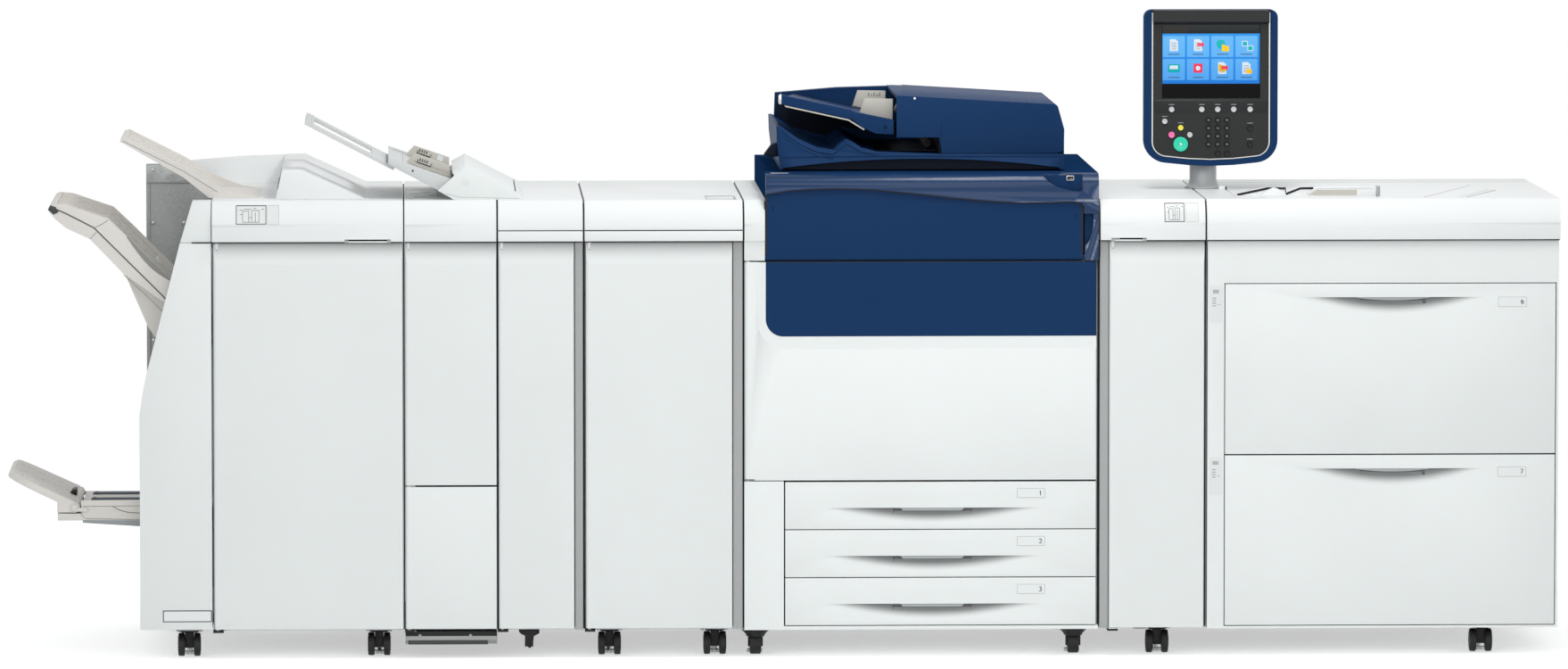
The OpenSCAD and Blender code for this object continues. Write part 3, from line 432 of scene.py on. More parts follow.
# Heights in metres between which the tones of the screen change.
HEAD_SPAN = (1.331, 1.350)
TILE_SPAN = (1.228, 1.327)
FACE = Moulded("face_grey", Role.FACE, (0.017, 0.018, 0.018), 0.5, grain=0.6 * MM, specular=0.25)
SILVER = Moulded("key_silver", Role.KEY, (0.52, 0.53, 0.54), 0.3, coat=0.3)
YELLOW = Moulded("key_yellow", Role.KEY, (0.80, 0.72, 0.05), 0.35, coat=0.3)
GREEN = Moulded("start_green", Role.START, (0.0, 0.62, 0.38), 0.32, coat=0.4)
PINK = Moulded("stop_pink", Role.STOP, (0.86, 0.16, 0.40), 0.34, coat=0.3)
LEVER = Moulded("lever_green", Role.START, (0.02, 0.30, 0.14), 0.4)
CYAN = Moulded("toner_cyan", Role.BLACK, (0.01, 0.25, 0.50), 0.4)
MAGENTA = Moulded("toner_magenta", Role.BLACK, (0.50, 0.01, 0.18), 0.4)
AMBER = Moulded("toner_yellow", Role.BLACK, (0.75, 0.55, 0.02), 0.4)
COPPER = Brushed("drum_coating", Role.METAL, (0.05, 0.16, 0.17), Axis.X, 0.2, 0.4)
HEADER = Lit("screen_header", (0.010, 0.012, 0.012), (0.022, 0.026, 0.026), *HEAD_SPAN)
TAB = Lit("screen_tab", (0.016, 0.015, 0.013), (0.030, 0.028, 0.026), *HEAD_SPAN)
FIELD = Lit("screen_field", (0.009, 0.105, 0.36), (0.02, 0.18, 0.48), 1.221, 1.331)
TILE = Lit("screen_tile", (0.045, 0.20, 0.46), (0.085, 0.28, 0.52), *TILE_SPAN)
DARK = Lit("screen_bar", (0.0004, 0.0004, 0.0006), (0.0008, 0.0008, 0.001), 1.189, 1.221, glow=0.1)
PAPER = Lit("icon_white", (0.36, 0.40, 0.44), (0.44, 0.48, 0.52), *TILE_SPAN)
RED = Lit("icon_red", (0.46, 0.02, 0.05), (0.52, 0.04, 0.10), *TILE_SPAN)
TEAL = Lit("icon_teal", (0.0, 0.20, 0.22), (0.01, 0.28, 0.30), *TILE_SPAN)
GOLD = Lit("icon_gold", (0.50, 0.27, 0.01), (0.56, 0.36, 0.02), *TILE_SPAN)


class Finishes:
    """Makes each finish's material once and hands it out."""

    def __init__(self) -> None:
        """Starts with no materials."""
        self.made: dict[str, bpy.types.Material] = {}

    def of(self, finish: Finish) -> bpy.types.Material:
        """The material of a finish."""
        if finish.name not in self.made:
            self.made[finish.name] = finish.material()
        return self.made[finish.name]


class Shape:
    """A bmesh in millimetres that starts from simple solids and ends as one piece."""

    def __init__(self, at: float = 0.0) -> None:
        """Starts an empty mesh, whose places along X are counted from at."""
        self.bm = bmesh.new()
        self.at = at

    def mesh(self, name: str) -> bpy.types.Mesh:
        """Ends the shape as a mesh in metres."""
        bmesh.ops.translate(self.bm, verts=self.bm.verts, vec=(self.at, 0, 0))
        bmesh.ops.scale(self.bm, verts=self.bm.verts, vec=(MM, MM, MM))
        made = bpy.data.meshes.new(name)
        self.bm.to_mesh(made)
        self.bm.free()
        return made

    def _soften(self, edges: Iterable[bmesh.types.BMEdge], width: float, angle: float = EDGE_ANGLE) -> None:
        """Bevels those of the edges that are sharper than angle, in degrees."""
        sharp = [e for e in edges if len(e.link_faces) == 2 and e.calc_face_angle(0.0) > math.radians(angle)]
        if width > 0 and sharp:
            bmesh.ops.bevel(self.bm, geom=sharp, offset=width, offset_type="OFFSET", segments=BEVEL_STEPS,
                profile=0.5, affect="EDGES", clamp_overlap=True, material=-1)

    def box(self, low: Sequence[float], high: Sequence[float], soft: float = 0.0) -> "Shape":
        """Adds a box.

        Args:
            low: Its lowest corner.
            high: Its highest corner.
            soft: The width of its bevels.

        Returns:
            This shape.
        """
        size = Vector(high) - Vector(low)
        at = Matrix.Translation((Vector(low) + Vector(high)) / 2) @ Matrix.Diagonal((*size, 1.0))
        verts = bmesh.ops.create_cube(self.bm, size=1.0, matrix=at)["verts"]
        self._soften({e for v in verts for e in v.link_edges}, soft)
        return self

    def bar(self, start: Sequence[float], end: Sequence[float], radius: float, tip: float | None = None,
            sides: int = 32, soft: float = 0.0) -> "Shape":
        """Adds a round bar or a cone.

        Args:
            start: The middle of its first end.
            end: The middle of its second end.
            radius: Its radius at the first end.
            tip: Its radius at the second end, if it differs.
            sides: The sides of its circle.
            soft: The bevel of its rims.

        Returns:
            This shape.
        """
        run = Vector(end) - Vector(start)
        turn = Vector((0, 0, 1)).rotation_difference(run).to_matrix().to_4x4()
        at = Matrix.Translation((Vector(start) + Vector(end)) / 2) @ turn
        verts = bmesh.ops.create_cone(self.bm, cap_ends=True, segments=sides, radius1=radius,
            radius2=radius if tip is None else tip, depth=run.length, matrix=at)["verts"]
        self._soften({e for v in verts for e in v.link_edges}, soft, RIM_ANGLE)
        return self

    def prism(self, outline: Sequence[Point], low: float, high: float, soft: float = 0.0,
            axis: Axis = Axis.Y) -> "Shape":
        """Draws an outline out along an axis.

        Args:
            outline: Points in the other two axes, in their order.
            low: Where it starts along the axis.
            high: Where it ends.
            soft: The width of its bevels.
            axis: The axis.

        Returns:
            This shape.
        """
        depth, across, up = axis.value
        verts = []
        for a, b in outline:
            spot = [0.0, 0.0, 0.0]
            spot[depth], spot[across], spot[up] = low, a, b
            verts.append(self.bm.verts.new(spot))
        face = self.bm.faces.new(verts)
        run = [0.0, 0.0, 0.0]
        run[depth] = high - low
        grown = bmesh.ops.extrude_face_region(self.bm, geom=[face], use_keep_orig=True)["geom"]
        ends = [g for g in grown if isinstance(g, bmesh.types.BMVert)]
        bmesh.ops.translate(self.bm, verts=ends, vec=run)
        faces = list({f for v in verts + ends for f in v.link_faces})
        bmesh.ops.recalc_face_normals(self.bm, faces=faces)
        self._soften({e for v in verts + ends for e in v.link_edges}, soft)
        return self

    def lathe(self, centre: Sequence[float], profile: Sequence[Point], sides: int,
            axis: Axis = Axis.Y) -> "Shape":
        """Turns a profile of (radius, run along the axis) about an axis through centre."""
        depth, across, _ = axis.value
        verts = []
        for radius, run in profile:
            spot = list(centre)
            spot[depth] += run
            spot[across] += radius
            verts.append(self.bm.verts.new(spot))
        edges = [self.bm.edges.new(pair) for pair in zip(verts, verts[1:])]
        about = [0.0, 0.0, 0.0]
        about[depth] = 1.0
        before = set(self.bm.faces)
        bmesh.ops.spin(self.bm, geom=verts + edges, cent=centre, axis=about, angle=math.tau, steps=sides,
            use_merge=True)
        fresh = [f for f in self.bm.faces if f not in before]
        touched = list({v for f in fresh for v in f.verts})
        bmesh.ops.remove_doubles(self.bm, verts=touched, dist=MEETING)
        fresh = [f for f in self.bm.faces if f not in before]
        bmesh.ops.recalc_face_normals(self.bm, faces=fresh)
        return self

    def skin(self, rows: Sequence[Sequence[Sequence[float]]], ring: bool = True,
            closed: bool = False) -> "Shape":
        """Skins rows of points that run side by side.

        Args:
            rows: The rows, each with the same number of points.
            ring: The last row joins the first, and the ends are closed.
            closed: Each row ends where it starts, so there are no ends.

        Returns:
            This shape.
        """
        grid = [[self.bm.verts.new(p) for p in row] for row in rows]
        pairs = list(zip(grid, grid[1:] + (grid[:1] if ring else [])))
        faces = []
        for a, b in pairs:
            faces += [self.bm.faces.new((a[i], a[i + 1], b[i + 1], b[i])) for i in range(len(a) - 1)]
        if closed:
            bmesh.ops.remove_doubles(self.bm, verts=[v for row in grid for v in row], dist=MEETING)
            faces = [f for f in faces if f.is_valid]
        elif ring:
            faces += [self.bm.faces.new([row[end] for row in grid]) for end in (0, -1)]
        bmesh.ops.recalc_face_normals(self.bm, faces=faces)
        return self

    def ribbon(self, points: Sequence[Point], width: float, low: float, high: float,
            axis: Axis = Axis.Y) -> "Shape":
        """A flat strip of that width along points, drawn out from low to high along an axis."""
        left, right = [], []
        for i, (a, b) in enumerate(points):
            near, far = points[max(i - 1, 0)], points[min(i + 1, len(points) - 1)]
            run = math.hypot(far[0] - near[0], far[1] - near[1])
            off = (-(far[1] - near[1]) / run * width / 2, (far[0] - near[0]) / run * width / 2)
            left.append((a + off[0], b + off[1]))
            right.append((a - off[0], b - off[1]))
        return self.prism(left + right[::-1], low, high, axis=axis)

    def carried(self, node: str, soft: float, longest: float = 12.0, back: float = 0.0) -> "Shape":
        """Takes a copy of a CAD node, merged to whole faces, with its long sharp edges softened.

        Args:
            node: The node.
            soft: The width of the bevels.
            longest: Edges shorter than this stay as they are.
            back: How far its rearmost face moves in, which makes room for what stands on it.

        Returns:
            This shape.
        """
        self.bm.from_mesh(FRAME["nodes"][node].data)
        bmesh.ops.scale(self.bm, verts=self.bm.verts, vec=(1 / MM, 1 / MM, 1 / MM))
        same_point, same_plane, flat = 0.01, 0.1, math.radians(0.8)
        bmesh.ops.remove_doubles(self.bm, verts=self.bm.verts, dist=same_point)
        rear = max(v.co.y for v in self.bm.verts)
        rearmost = [v for v in self.bm.verts if v.co.y > rear - same_plane]
        bmesh.ops.translate(self.bm, verts=rearmost, vec=(0, -back, 0))
        bmesh.ops.dissolve_limit(self.bm, angle_limit=flat, verts=self.bm.verts, edges=self.bm.edges,
            use_dissolve_boundaries=False)
        if soft > 0:
            self._soften([e for e in self.bm.edges if e.calc_length() > longest], soft)
        return self


FRAME: dict = {}
ROOT = "press_line"


@dataclass
class Workshop:
    """Turns shapes into pieces: names them, finishes them and sets them on their bodies."""

    finishes: Finishes = field(default_factory=Finishes)
    owner: dict[str, str] = field(default_factory=dict)

    def __post_init__(self) -> None:
        """Looks up the body of each node."""
        for body, nodes in FRAME["record"]["behaviour"]["bodies"].items():
            for node in nodes:
                self.owner[node] = body

    def piece(self, name: str, shape: Shape, finish: Finish, body: str, *nodes: str,
            smooth: float = SMOOTH_ANGLE) -> bpy.types.Object:
        """Ends a shape as a piece.

        Args:
            name: The piece's name.
            shape: Its mesh.
            finish: Its finish.
            body: The body that it rides on.
            nodes: CAD nodes that it stands for.
            smooth: Edges flatter than this many degrees are shaded smooth.

        Returns:
            The piece's object.
        """
        mesh = shape.mesh(name)
        mesh.materials.append(self.finishes.of(finish))
        mesh.shade_smooth()
        mesh.set_sharp_from_angle(angle=math.radians(smooth))
        thing = bpy.data.objects.new(name, mesh)
        bpy.context.scene.collection.objects.link(thing)
        if nodes:
            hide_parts(*nodes)
        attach(thing, body)
        LOG.info("%s rides on %s", name, body)
        return thing

    def carry(self, node: str, finish: Finish, soft: float = 1.5, smooth: float = SMOOTH_ANGLE,
            **options: float) -> bpy.types.Object:
        """A CAD node with softened edges and a finish, as a piece of its own."""
        shape = Shape().carried(node, soft, **options)
        return self.piece(node + "_shell", shape, finish, self.owner[node], node, smooth=smooth)

    def dress(self, node: str, finish: Finish) -> None:
        """Gives a CAD node itself a finish."""
        mesh = FRAME["nodes"][node].data
        mesh.materials.clear()
        mesh.materials.append(self.finishes.of(finish))
        LOG.info("%s keeps its solid", node)


def arc(across: float, up: float, radius: float, start: float, end: float, steps: int = 8) -> list[Point]:
    """Points on an arc.

    Args:
        across: Its centre's first place.
        up: Its centre's second place.
        radius: Its radius.
        start: Its first angle, in degrees.
        end: Its last angle.
        steps: Its steps.

    Returns:
        The points, both ends among them.
    """
    turns = [math.radians(start + (end - start) * i / steps) for i in range(steps + 1)]
    return [(across + radius * math.cos(a), up + radius * math.sin(a)) for a in turns]


def rounded(low: Point, high: Point, radius: float, steps: int = 6) -> list[Point]:
    """A rectangle with round corners."""
    (x0, z0), (x1, z1) = low, high
    corners = [(x1 - radius, z0 + radius, -90), (x1 - radius, z1 - radius, 0), (x0 + radius, z1 - radius, 90),
        (x0 + radius, z0 + radius, 180)]
    return [p for x, z, a in corners for p in arc(x, z, radius, a, a + 90, steps)]


def moved(across: float, up: float, *points: Point) -> list[Point]:
    """Points counted from the place across and up."""
    return [(a + across, b + up) for a, b in points]


def roller(bore: float, radius: float, length: float, rim: Point = (1.0, 1.5)) -> list[Point]:
    """The profile of a roller on a shaft, whose ends slant in by the first number of rim over the second."""
    slant, run = rim
    return [(bore, 0), (radius - slant, 0), (radius, run), (radius, length - run), (radius - slant, length),
        (bore, length)]


def knob(radius: float, height: float) -> list[Point]:
    """The profile of a turning knob."""
    return [(0.5, 0), (radius - 2, 0), (radius, 2), (radius, height - 2), (radius - 3, height), (0.5, height)]


@dataclass(frozen=True)
class Lamp:
    """A soft rectangular lamp, in metres and watts. A sheen lamp shows only on glossy parts."""

    name: str
    place: tuple[float, float, float]
    aim: tuple[float, float, float]
    size: Point
    power: float
    sheen: bool = False


@dataclass
class Studio:
    """Plain floor, soft light and the camera at the photograph's angle."""

    eye: tuple[float, float, float] = (-0.822, -23.165, 2.383)
    pitch: float = -4.22
    yaw: float = -2.063
    lens: float = 243.8
    sensor: float = 36.0
    sight: float = 200.0
    floor_tone: float = 0.9
    floor_reach: float = 60.0
    near: float = 2.6
    far: float = 5.5
    lift: float = 0.5
    fill: tuple[float, float, float, float] = (0.97, 0.985, 1.0, 1.0)
    fill_strength: float = 0.60
    lamps: tuple[Lamp, ...] = (
        Lamp("key", (-2.4, -13.0, 4.9), (-0.3, 0, 0.6), (16, 7), 570),
        Lamp("long_strip", (0.47, -1.3, 3.6), (0.36, -0.35, 1.0), (0.2, 2.0), 30.0, sheen=True),
        Lamp("short_strip", (0.78, -1.3, 3.6), (0.62, -0.35, 1.0), (0.12, 2.0), 16.0, sheen=True),
    )

    def camera(self) -> None:
        """Sets the camera."""
        data = bpy.data.cameras.new("camera")
        data.lens = self.lens
        data.sensor_width = self.sensor
        data.clip_end = self.sight
        thing = bpy.data.objects.new("camera", data)
        thing.location = self.eye
        thing.rotation_euler = (math.radians(90 + self.pitch), 0.0, math.radians(self.yaw))
        bpy.context.scene.collection.objects.link(thing)
        bpy.context.scene.camera = thing

    def hang(self, lamp: Lamp) -> None:
        """Hangs a lamp."""
        data = bpy.data.lights.new(lamp.name, "AREA")
        data.shape = "RECTANGLE"
        data.size, data.size_y = lamp.size
        data.energy = lamp.power
        data.diffuse_factor = 0.0 if lamp.sheen else 1.0
        thing = bpy.data.objects.new(lamp.name, data)
        thing.location = lamp.place
        thing.rotation_euler = (Vector(lamp.aim) - Vector(lamp.place)).to_track_quat("-Z", "Y").to_euler()
        bpy.context.scene.collection.objects.link(thing)

    def world(self) -> None:
        """White to the camera, in gloss and through glass; a soft grey fill on the object."""
        world = bpy.data.worlds.new("studio")
        bpy.context.scene.world = world
        world.use_nodes = True
        tree = world.node_tree
        tree.nodes.clear()
        path = tree.nodes.new("ShaderNodeLightPath")
        seen = path.outputs["Is Camera Ray"]
        for kind in ("Is Transmission Ray", "Is Glossy Ray"):
            both = tree.nodes.new("ShaderNodeMath")
            both.operation = "MAXIMUM"
            tree.links.new(seen, both.inputs[0])
            tree.links.new(path.outputs[kind], both.inputs[1])
            seen = both.outputs[0]
        white = tree.nodes.new("ShaderNodeBackground")
        white.inputs["Color"].default_value = (1, 1, 1, 1)
        fill = tree.nodes.new("ShaderNodeBackground")
        fill.inputs["Color"].default_value = self.fill
        fill.inputs["Strength"].default_value = self.fill_strength
        blend = tree.nodes.new("ShaderNodeMixShader")
        tree.links.new(seen, blend.inputs[0])
        tree.links.new(fill.outputs[0], blend.inputs[1])
        tree.links.new(white.outputs[0], blend.inputs[2])
        out = tree.nodes.new("ShaderNodeOutputWorld")
        tree.links.new(blend.outputs[0], out.inputs["Surface"])

    def floor(self) -> None:
        """A wide pale floor that takes the shadow near the machine and is plain white farther off."""
        shape = Shape()
        bmesh.ops.create_grid(shape.bm, x_segments=1, y_segments=1, size=self.floor_reach / MM)
        mesh = shape.mesh("floor")
        graph = Graph("floor")
        away = graph.node("VectorMath", {"operation": "LENGTH"}, {0: graph.place()}, output="Value")
        plain = graph.node("MapRange", {"interpolation_type": "SMOOTHSTEP"},
            {"Value": away, "From Min": self.near, "From Max": self.far})
        rays = [graph.node("LightPath", output=f"Is {kind} Ray")
            for kind in ("Camera", "Glossy", "Transmission")]
        seen = rays[0].maths("MAXIMUM", rays[0], rays[1].maths("MAXIMUM", rays[1], rays[2]))
        matt = graph.node("BsdfDiffuse", inputs={"Color": (self.floor_tone,) * 3})
        white = graph.node("Emission", inputs={"Color": (1.0, 1.0, 1.0), "Strength": 1.0})
        lift = graph.node("Emission", inputs={"Color": (1.0, 1.0, 1.0), "Strength": self.lift})
        raised = graph.node("MixShader", inputs={0: seen, 2: lift})
        lifted = graph.node("AddShader", inputs={0: matt, 1: raised})
        graph.node_output(graph.node("MixShader", inputs={0: plain * seen, 1: lifted, 2: white}))
        mesh.materials.append(graph.material)
        thing = bpy.data.objects.new("floor", mesh)
        bpy.context.scene.collection.objects.link(thing)

    def build(self) -> None:
        """Sets the whole studio."""
        self.camera()
        self.world()
        self.floor()
        for lamp in self.lamps:
            self.hang(lamp)
        bpy.context.scene.view_settings.view_transform = "Standard"


def corners(node: str) -> tuple[tuple[float, ...], tuple[float, ...]]:
    """The lowest and highest corner of a CAD node, in millimetres."""
    low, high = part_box(node)
    return tuple(v / MM for v in low), tuple(v / MM for v in high)


@dataclass(frozen=True)
class Line:
    """Planes that the whole line shares, read from the frame."""

    deck: float
    fascia: float
    nose: float
    door: float
    back: float
    nose_radius: float = 71.6
    above_fascia: float = 31.0
    inset: float = 1.5

    @classmethod
    def read(cls) -> "Line":
        """Reads the planes from the folder's covers and doors."""
        cover, door = corners("folder_top_cover"), corners("folder_upper_door")
        return cls(cover[1][2], door[1][2] + 3, cover[0][1], door[0][1], cover[1][1])

    def on_nose(self, z: float, lift: float) -> Point:
        """The (Y, Z) point of the rounded nose at height z, lifted off it."""
        bend = self.fascia + self.above_fascia
        if z <= bend:
            return (self.nose - lift, z)
        turn = math.asin((z - bend) / self.nose_radius)
        reach = self.nose_radius + lift
        return (self.nose + self.nose_radius - reach * math.cos(turn), bend + reach * math.sin(turn))


@dataclass
class Assembly:
    """A sub-assembly of the line, with the workshop that makes its pieces.

    Its places along X are counted from the left side of its lead node.
    """

    shop: Workshop
    line: Line
    lead: str = "folder_top_cover"

    def build(self) -> None:
        """Makes the pieces."""
        raise NotImplementedError

    @property
    def left(self) -> float:
        """The left side of the lead node."""
        return corners(self.lead)[0][0]

    @property
    def width(self) -> float:
        """The width of the lead node."""
        low, high = corners(self.lead)
        return high[0] - low[0]

    def shape(self) -> Shape:
        """An empty shape whose X starts at the assembly's left side."""
        return Shape(self.left)

    def add(self, name: str, shape: Shape, finish: Finish, on: str | None = None, *nodes: str,
            smooth: float = SMOOTH_ANGLE) -> None:
        """Ends a shape as a piece that rides on the body of the node on, or on the whole line."""
        self.shop.piece(name, shape, finish, self.shop.owner[on] if on else ROOT, *nodes, smooth=smooth)

    @property
    def module(self) -> str:
        """The module's name, with which its lead node begins."""
        return self.lead.split("_")[0]

    def block(self, name: str, low: Sequence[float], high: Sequence[float], finish: Finish,
            on: str | None = None, soft: float = 0.0) -> None:
        """A piece that is one box, from its lowest to its highest corner."""
        self.add(name, self.shape().box(low, high, soft), finish, on)

    def slab(self, name: str, outline: Sequence[Point], y: Point, finish: Finish, on: str | None = None,
            soft: float = 0.0) -> None:
        """A piece that is one outline in X and Z, drawn out between two places y."""
        self.add(name, self.shape().prism(outline, *y, soft), finish, on)

    def stripe(self, name: str, points: Sequence[Point], width: float, y: Point, finish: Finish,
            on: str | None = None) -> None:
        """A piece that is one flat strip along points in X and Z, drawn out between two places y."""
        self.add(name, self.shape().ribbon(points, width, *y), finish, on)

    def side_strip(self, x: Point) -> None:
        """The grey strip beside a door, painted shade of the recessed frame, between two places x."""
        front = self.line.door + 8.4
        self.block(f"{self.module}_side_strip", (x[0], front, 61), (x[1], front + 1, self.line.fascia - 1),
            GREY_AND_SHADE)

    def fascia_line(self) -> None:
        """The black line across the rounded nose of a top cover."""
        nose, deck = self.line.nose, self.line.deck
        self.block(f"{self.module}_fascia_line", (0.3, nose + 0.3, deck - 65),
            (self.width - 0.3, nose + 2.9, deck - 63), BLACK)

    def inner_sheets(self, *heights: Point) -> Shape:
        """Thin sheets behind a door, one for each pair of a lower and an upper edge."""
        side, front, thick = 14, self.line.door + 50, 2
        sheets = self.shape()
        for foot, head in heights:
            sheets.box((side, front, foot), (self.width - side, front + thick, head), 0.6)
        return sheets

    def knobs(self, places: Iterable[float], height: float, size: Point, finish: Finish) -> None:
        """A row of turning knobs behind the door.

        Args:
            places: Their places along X.
            height: Their height over the ground.
            size: Their radius and how far they stand out.
            finish: Their finish.
        """
        row = self.shape()
        for x in places:
            row.lathe((x, self.line.door + 38, height), knob(*size), 24)
        self.add(f"{self.module}_knobs", row, finish)

    def digit(self, shape: Shape, figure: int, x: float, z: float, face: float) -> None:
        """Adds a plain numeral, 10 high, drawn with even strokes.

        Args:
            shape: The shape that takes it.
            figure: 1, 2, 3, 6 or 7.
            x: Its left side.
            z: Its foot.
            face: The plane of its front.
        """
        grown, thick = 1.25, 1.7
        strokes = {
            1: [[(0.8, 6.2), (2.6, 8), (2.6, 0)]],
            2: [arc(2.5, 5.6, 2.2, 160, -30, 6) + [(0.4, 0.4), (5, 0.4)]],
            3: [arc(2.4, 6.0, 1.9, 150, -90, 6), arc(2.4, 2.2, 2.1, 90, -150, 6)],
            6: [arc(4.6, 2.9, 4.6, 115, 178, 4), arc(2.5, 2.4, 2.1, 180, -180, 10)],
            7: [[(0.2, 7.6), (4.8, 7.6), (1.8, 0)]],
        }
        for points in strokes[figure]:
            shape.ribbon([(x + a * grown, z + b * grown) for a, b in points], thick, face - 0.25, face + 0.2)

    def plate(self, name: str, low: Point, high: Point, finish: Finish, on: str | None = None,
            face: float | None = None, proud: float = 0.6, radius: float = 2.0) -> None:
        """A thin plate with round corners on a front face.

        Args:
            name: The piece's name.
            low: Its lower left corner, as X and Z.
            high: Its upper right corner.
            finish: Its finish.
            on: The node that it is fixed to.
            face: The plane that it lies on, the doors' plane if None.
            proud: How far it stands out.
            radius: The radius of its corners.
        """
        back = self.line.door if face is None else face
        self.slab(name, rounded(low, high, radius), (back - proud, back + 0.2), finish, on)

    def number_plate(self, node: str, figure: int, x: Point, rise: Point, place: Point) -> None:
        """A drawer's plate with a numeral, in a thin shadow line.

        Args:
            node: The drawer.
            figure: The numeral.
            x: The sides of the shadow line.
            rise: The plate's foot and the height of the shadow line above it.
            place: The numeral's left side, and its foot above the plate's.
        """
        (x0, x1), (foot, high), edge = x, rise, 0.8
        self.plate(f"{node}_plate_edge", (x0, foot + 0.2 - edge), (x1, foot + high), FAINT, node, proud=0.3,
            radius=1.5)
        self.plate(f"{node}_plate", (x0 + edge, foot + 0.2), (x1 - edge, foot + high - edge), SHELL, node,
            proud=0.5, radius=1.2)
        ink = self.shape()
        self.digit(ink, figure, place[0], foot + place[1], self.line.door - 0.5)
        self.add(f"{node}_print", ink, INK, node)

    def runners(self, node: str, places: Iterable[float], z: Point) -> None:
        """A drawer's steel runners, at some places along X and between heights z."""
        front, rear = self.line.door + 40, self.line.door + 540
        rails = self.shape()
        for x in places:
            rails.box((x, front, z[0]), (x + 4, rear, z[1]), 1)
        self.add(f"{node}_runners", rails, STEEL, node)

    def band(self, shape: Shape, x: Point, z: Point, lift: float) -> Shape:
        """Adds a strip that lies on the rounded nose of a top cover, between heights z."""
        steps = 6
        heights = [z[0] + (z[1] - z[0]) * i / steps for i in range(steps + 1)]
        outer = [self.line.on_nose(h, lift) for h in heights]
        inner = [self.line.on_nose(h, -0.3) for h in heights]
        return shape.prism(outer + inner[::-1], *x, axis=Axis.X)

    def border(self, shape: Shape, x: Point, z: Point, thick: float) -> None:
        """Adds the four lines of a frame on the nose."""
        for edge in ((x[0], x[0] + thick), (x[1] - thick, x[1])):
            self.band(shape, edge, z, 0.3)
        for edge in ((z[0], z[0] + thick), (z[1] - thick, z[1])):
            self.band(shape, x, edge, 0.3)

    def diagram(self, name: str, x: Point, z: Point, blank: Point) -> None:
        """A printed sheet on the nose: a frame, a paper path in thin lines, and a bare field beside it.

        Args:
            name: What its pieces' names begin with.
            x: The frame's sides.
            z: The frame's lower and upper edge.
            blank: The sides of the bare field.
        """
        sheet = self.band(self.shape(), (x[0] - 1, blank[1] + 1), (z[0] - 1, z[1] + 1), 0.15)
        self.add(name + "_sheet", sheet, LABEL)
        ink = self.shape()
        self.border(ink, x, z, 1.5)
        faint = self.shape()
        wide, high, half = x[1] - x[0], z[1] - z[0], 0.45
        for a, b, c, d in ((0.22, 0.76, 0.12, 0.12), (0.22, 0.22, 0.12, 0.7), (0.22, 0.42, 0.7, 0.7),
                (0.42, 0.42, 0.12, 0.7), (0.52, 0.52, 0.12, 0.74), (0.42, 0.52, 0.36, 0.36),
                (0.52, 0.76, 0.74, 0.74), (0.76, 0.76, 0.12, 0.74), (0.64, 0.64, 0.12, 0.62),
                (0.14, 0.22, 0.52, 0.52), (0.26, 0.5, 0.8, 0.8), (0.12, 0.2, 0.76, 0.76),
                (0.84, 0.92, 0.8, 0.8), (0.58, 0.66, 0.84, 0.84)):
            across = (x[0] + a * wide - half, x[0] + b * wide + half)
            self.band(ink, across, (z[0] + c * high - half, z[0] + d * high + half), 0.25)
        self.border(faint, blank, z, 0.5)
        self.add(name + "_frame", ink, INK)
        self.add(name + "_lines", faint, FAINT)

    def lift_bar(self, x: Point) -> None:
        """The grip in the lower edge of a top cover: a black strip of painted shadow in its recess, with a
        pale bar.
        """
        nose, low = self.line.nose, self.line.fascia
        self.block(self.lead + "_grip_recess_shade", (x[0] + 0.5, nose + 8.6, low - 0.5),
            (x[1] - 0.5, nose + 9.9, low + 4.9), BLACK)
        bar = self.shape().bar((x[0] + 5, nose + 3.2, low - 0.4), (x[1] - 5, nose + 3.2, low - 0.4), 1.7,
            soft=0.4)
        self.add(self.lead + "_grip_bar", bar, COVER)
        ends = self.shape()
        for end in (x[0], x[1] - 8):
            ends.box((end, nose + 0.6, low - 2.4), (end + 8, nose + 9, low + 3.4), 0.8)
        self.add(self.lead + "_grip_ends", ends, GREY_AND_SHADE)

    def sill(self, node: str, middle: float, grip: float, half: float, scoop: Point) -> None:
        """Fills the lower part of a drawer's finger pocket, flush with the scoop round it.

        Args:
            node: The drawer.
            middle: The middle of the scoop.
            grip: The height of the scoop's straight upper edge.
            half: Half the pocket's width.
            scoop: Half the scoop's width and its depth below the edge.
        """
        reach, sag = scoop
        radius = (reach ** 2 + sag ** 2) / (2 * sag)
        low, high, back = -14.2, -7.2, self.line.door + 14.9
        xs = [half * (i / 6 - 1) for i in range(13)]
        rows = [[(middle + x, self.line.door + 15 * (radius - math.hypot(radius - sag - z, x)) / sag,
            grip + z) for x in xs] for z in (low, (low + high) / 2, high)]
        rows += [[(middle + x, back, grip + z) for x in xs] for z in (high, low)]
        self.add(node + "_grip_sill", self.shape().skin(rows), FRONT_PAINTED_SHADE, node)

    def seam(self, finish: Finish = BLACK) -> None:
        """A black strip deep in the gap at the right side of a module, painted shadow of the gap."""
        line, half, steps = self.line, 1.6, 8
        x, rear = self.width + 2, line.back - 40
        strip = self.shape().box((x - half, line.door + 27, 62), (x + half, rear, line.fascia + 2))
        heights = [line.fascia + 0.5 + (line.deck - line.fascia - 3.5) * i / steps for i in range(steps + 1)]
        nose = [line.on_nose(z, -3.5) for z in heights]
        strip.prism(nose + [(rear, line.deck - 4), (rear, line.fascia + 1)], x - half, x + half, axis=Axis.X)
        self.add(f"{self.module}_gap", strip, finish)


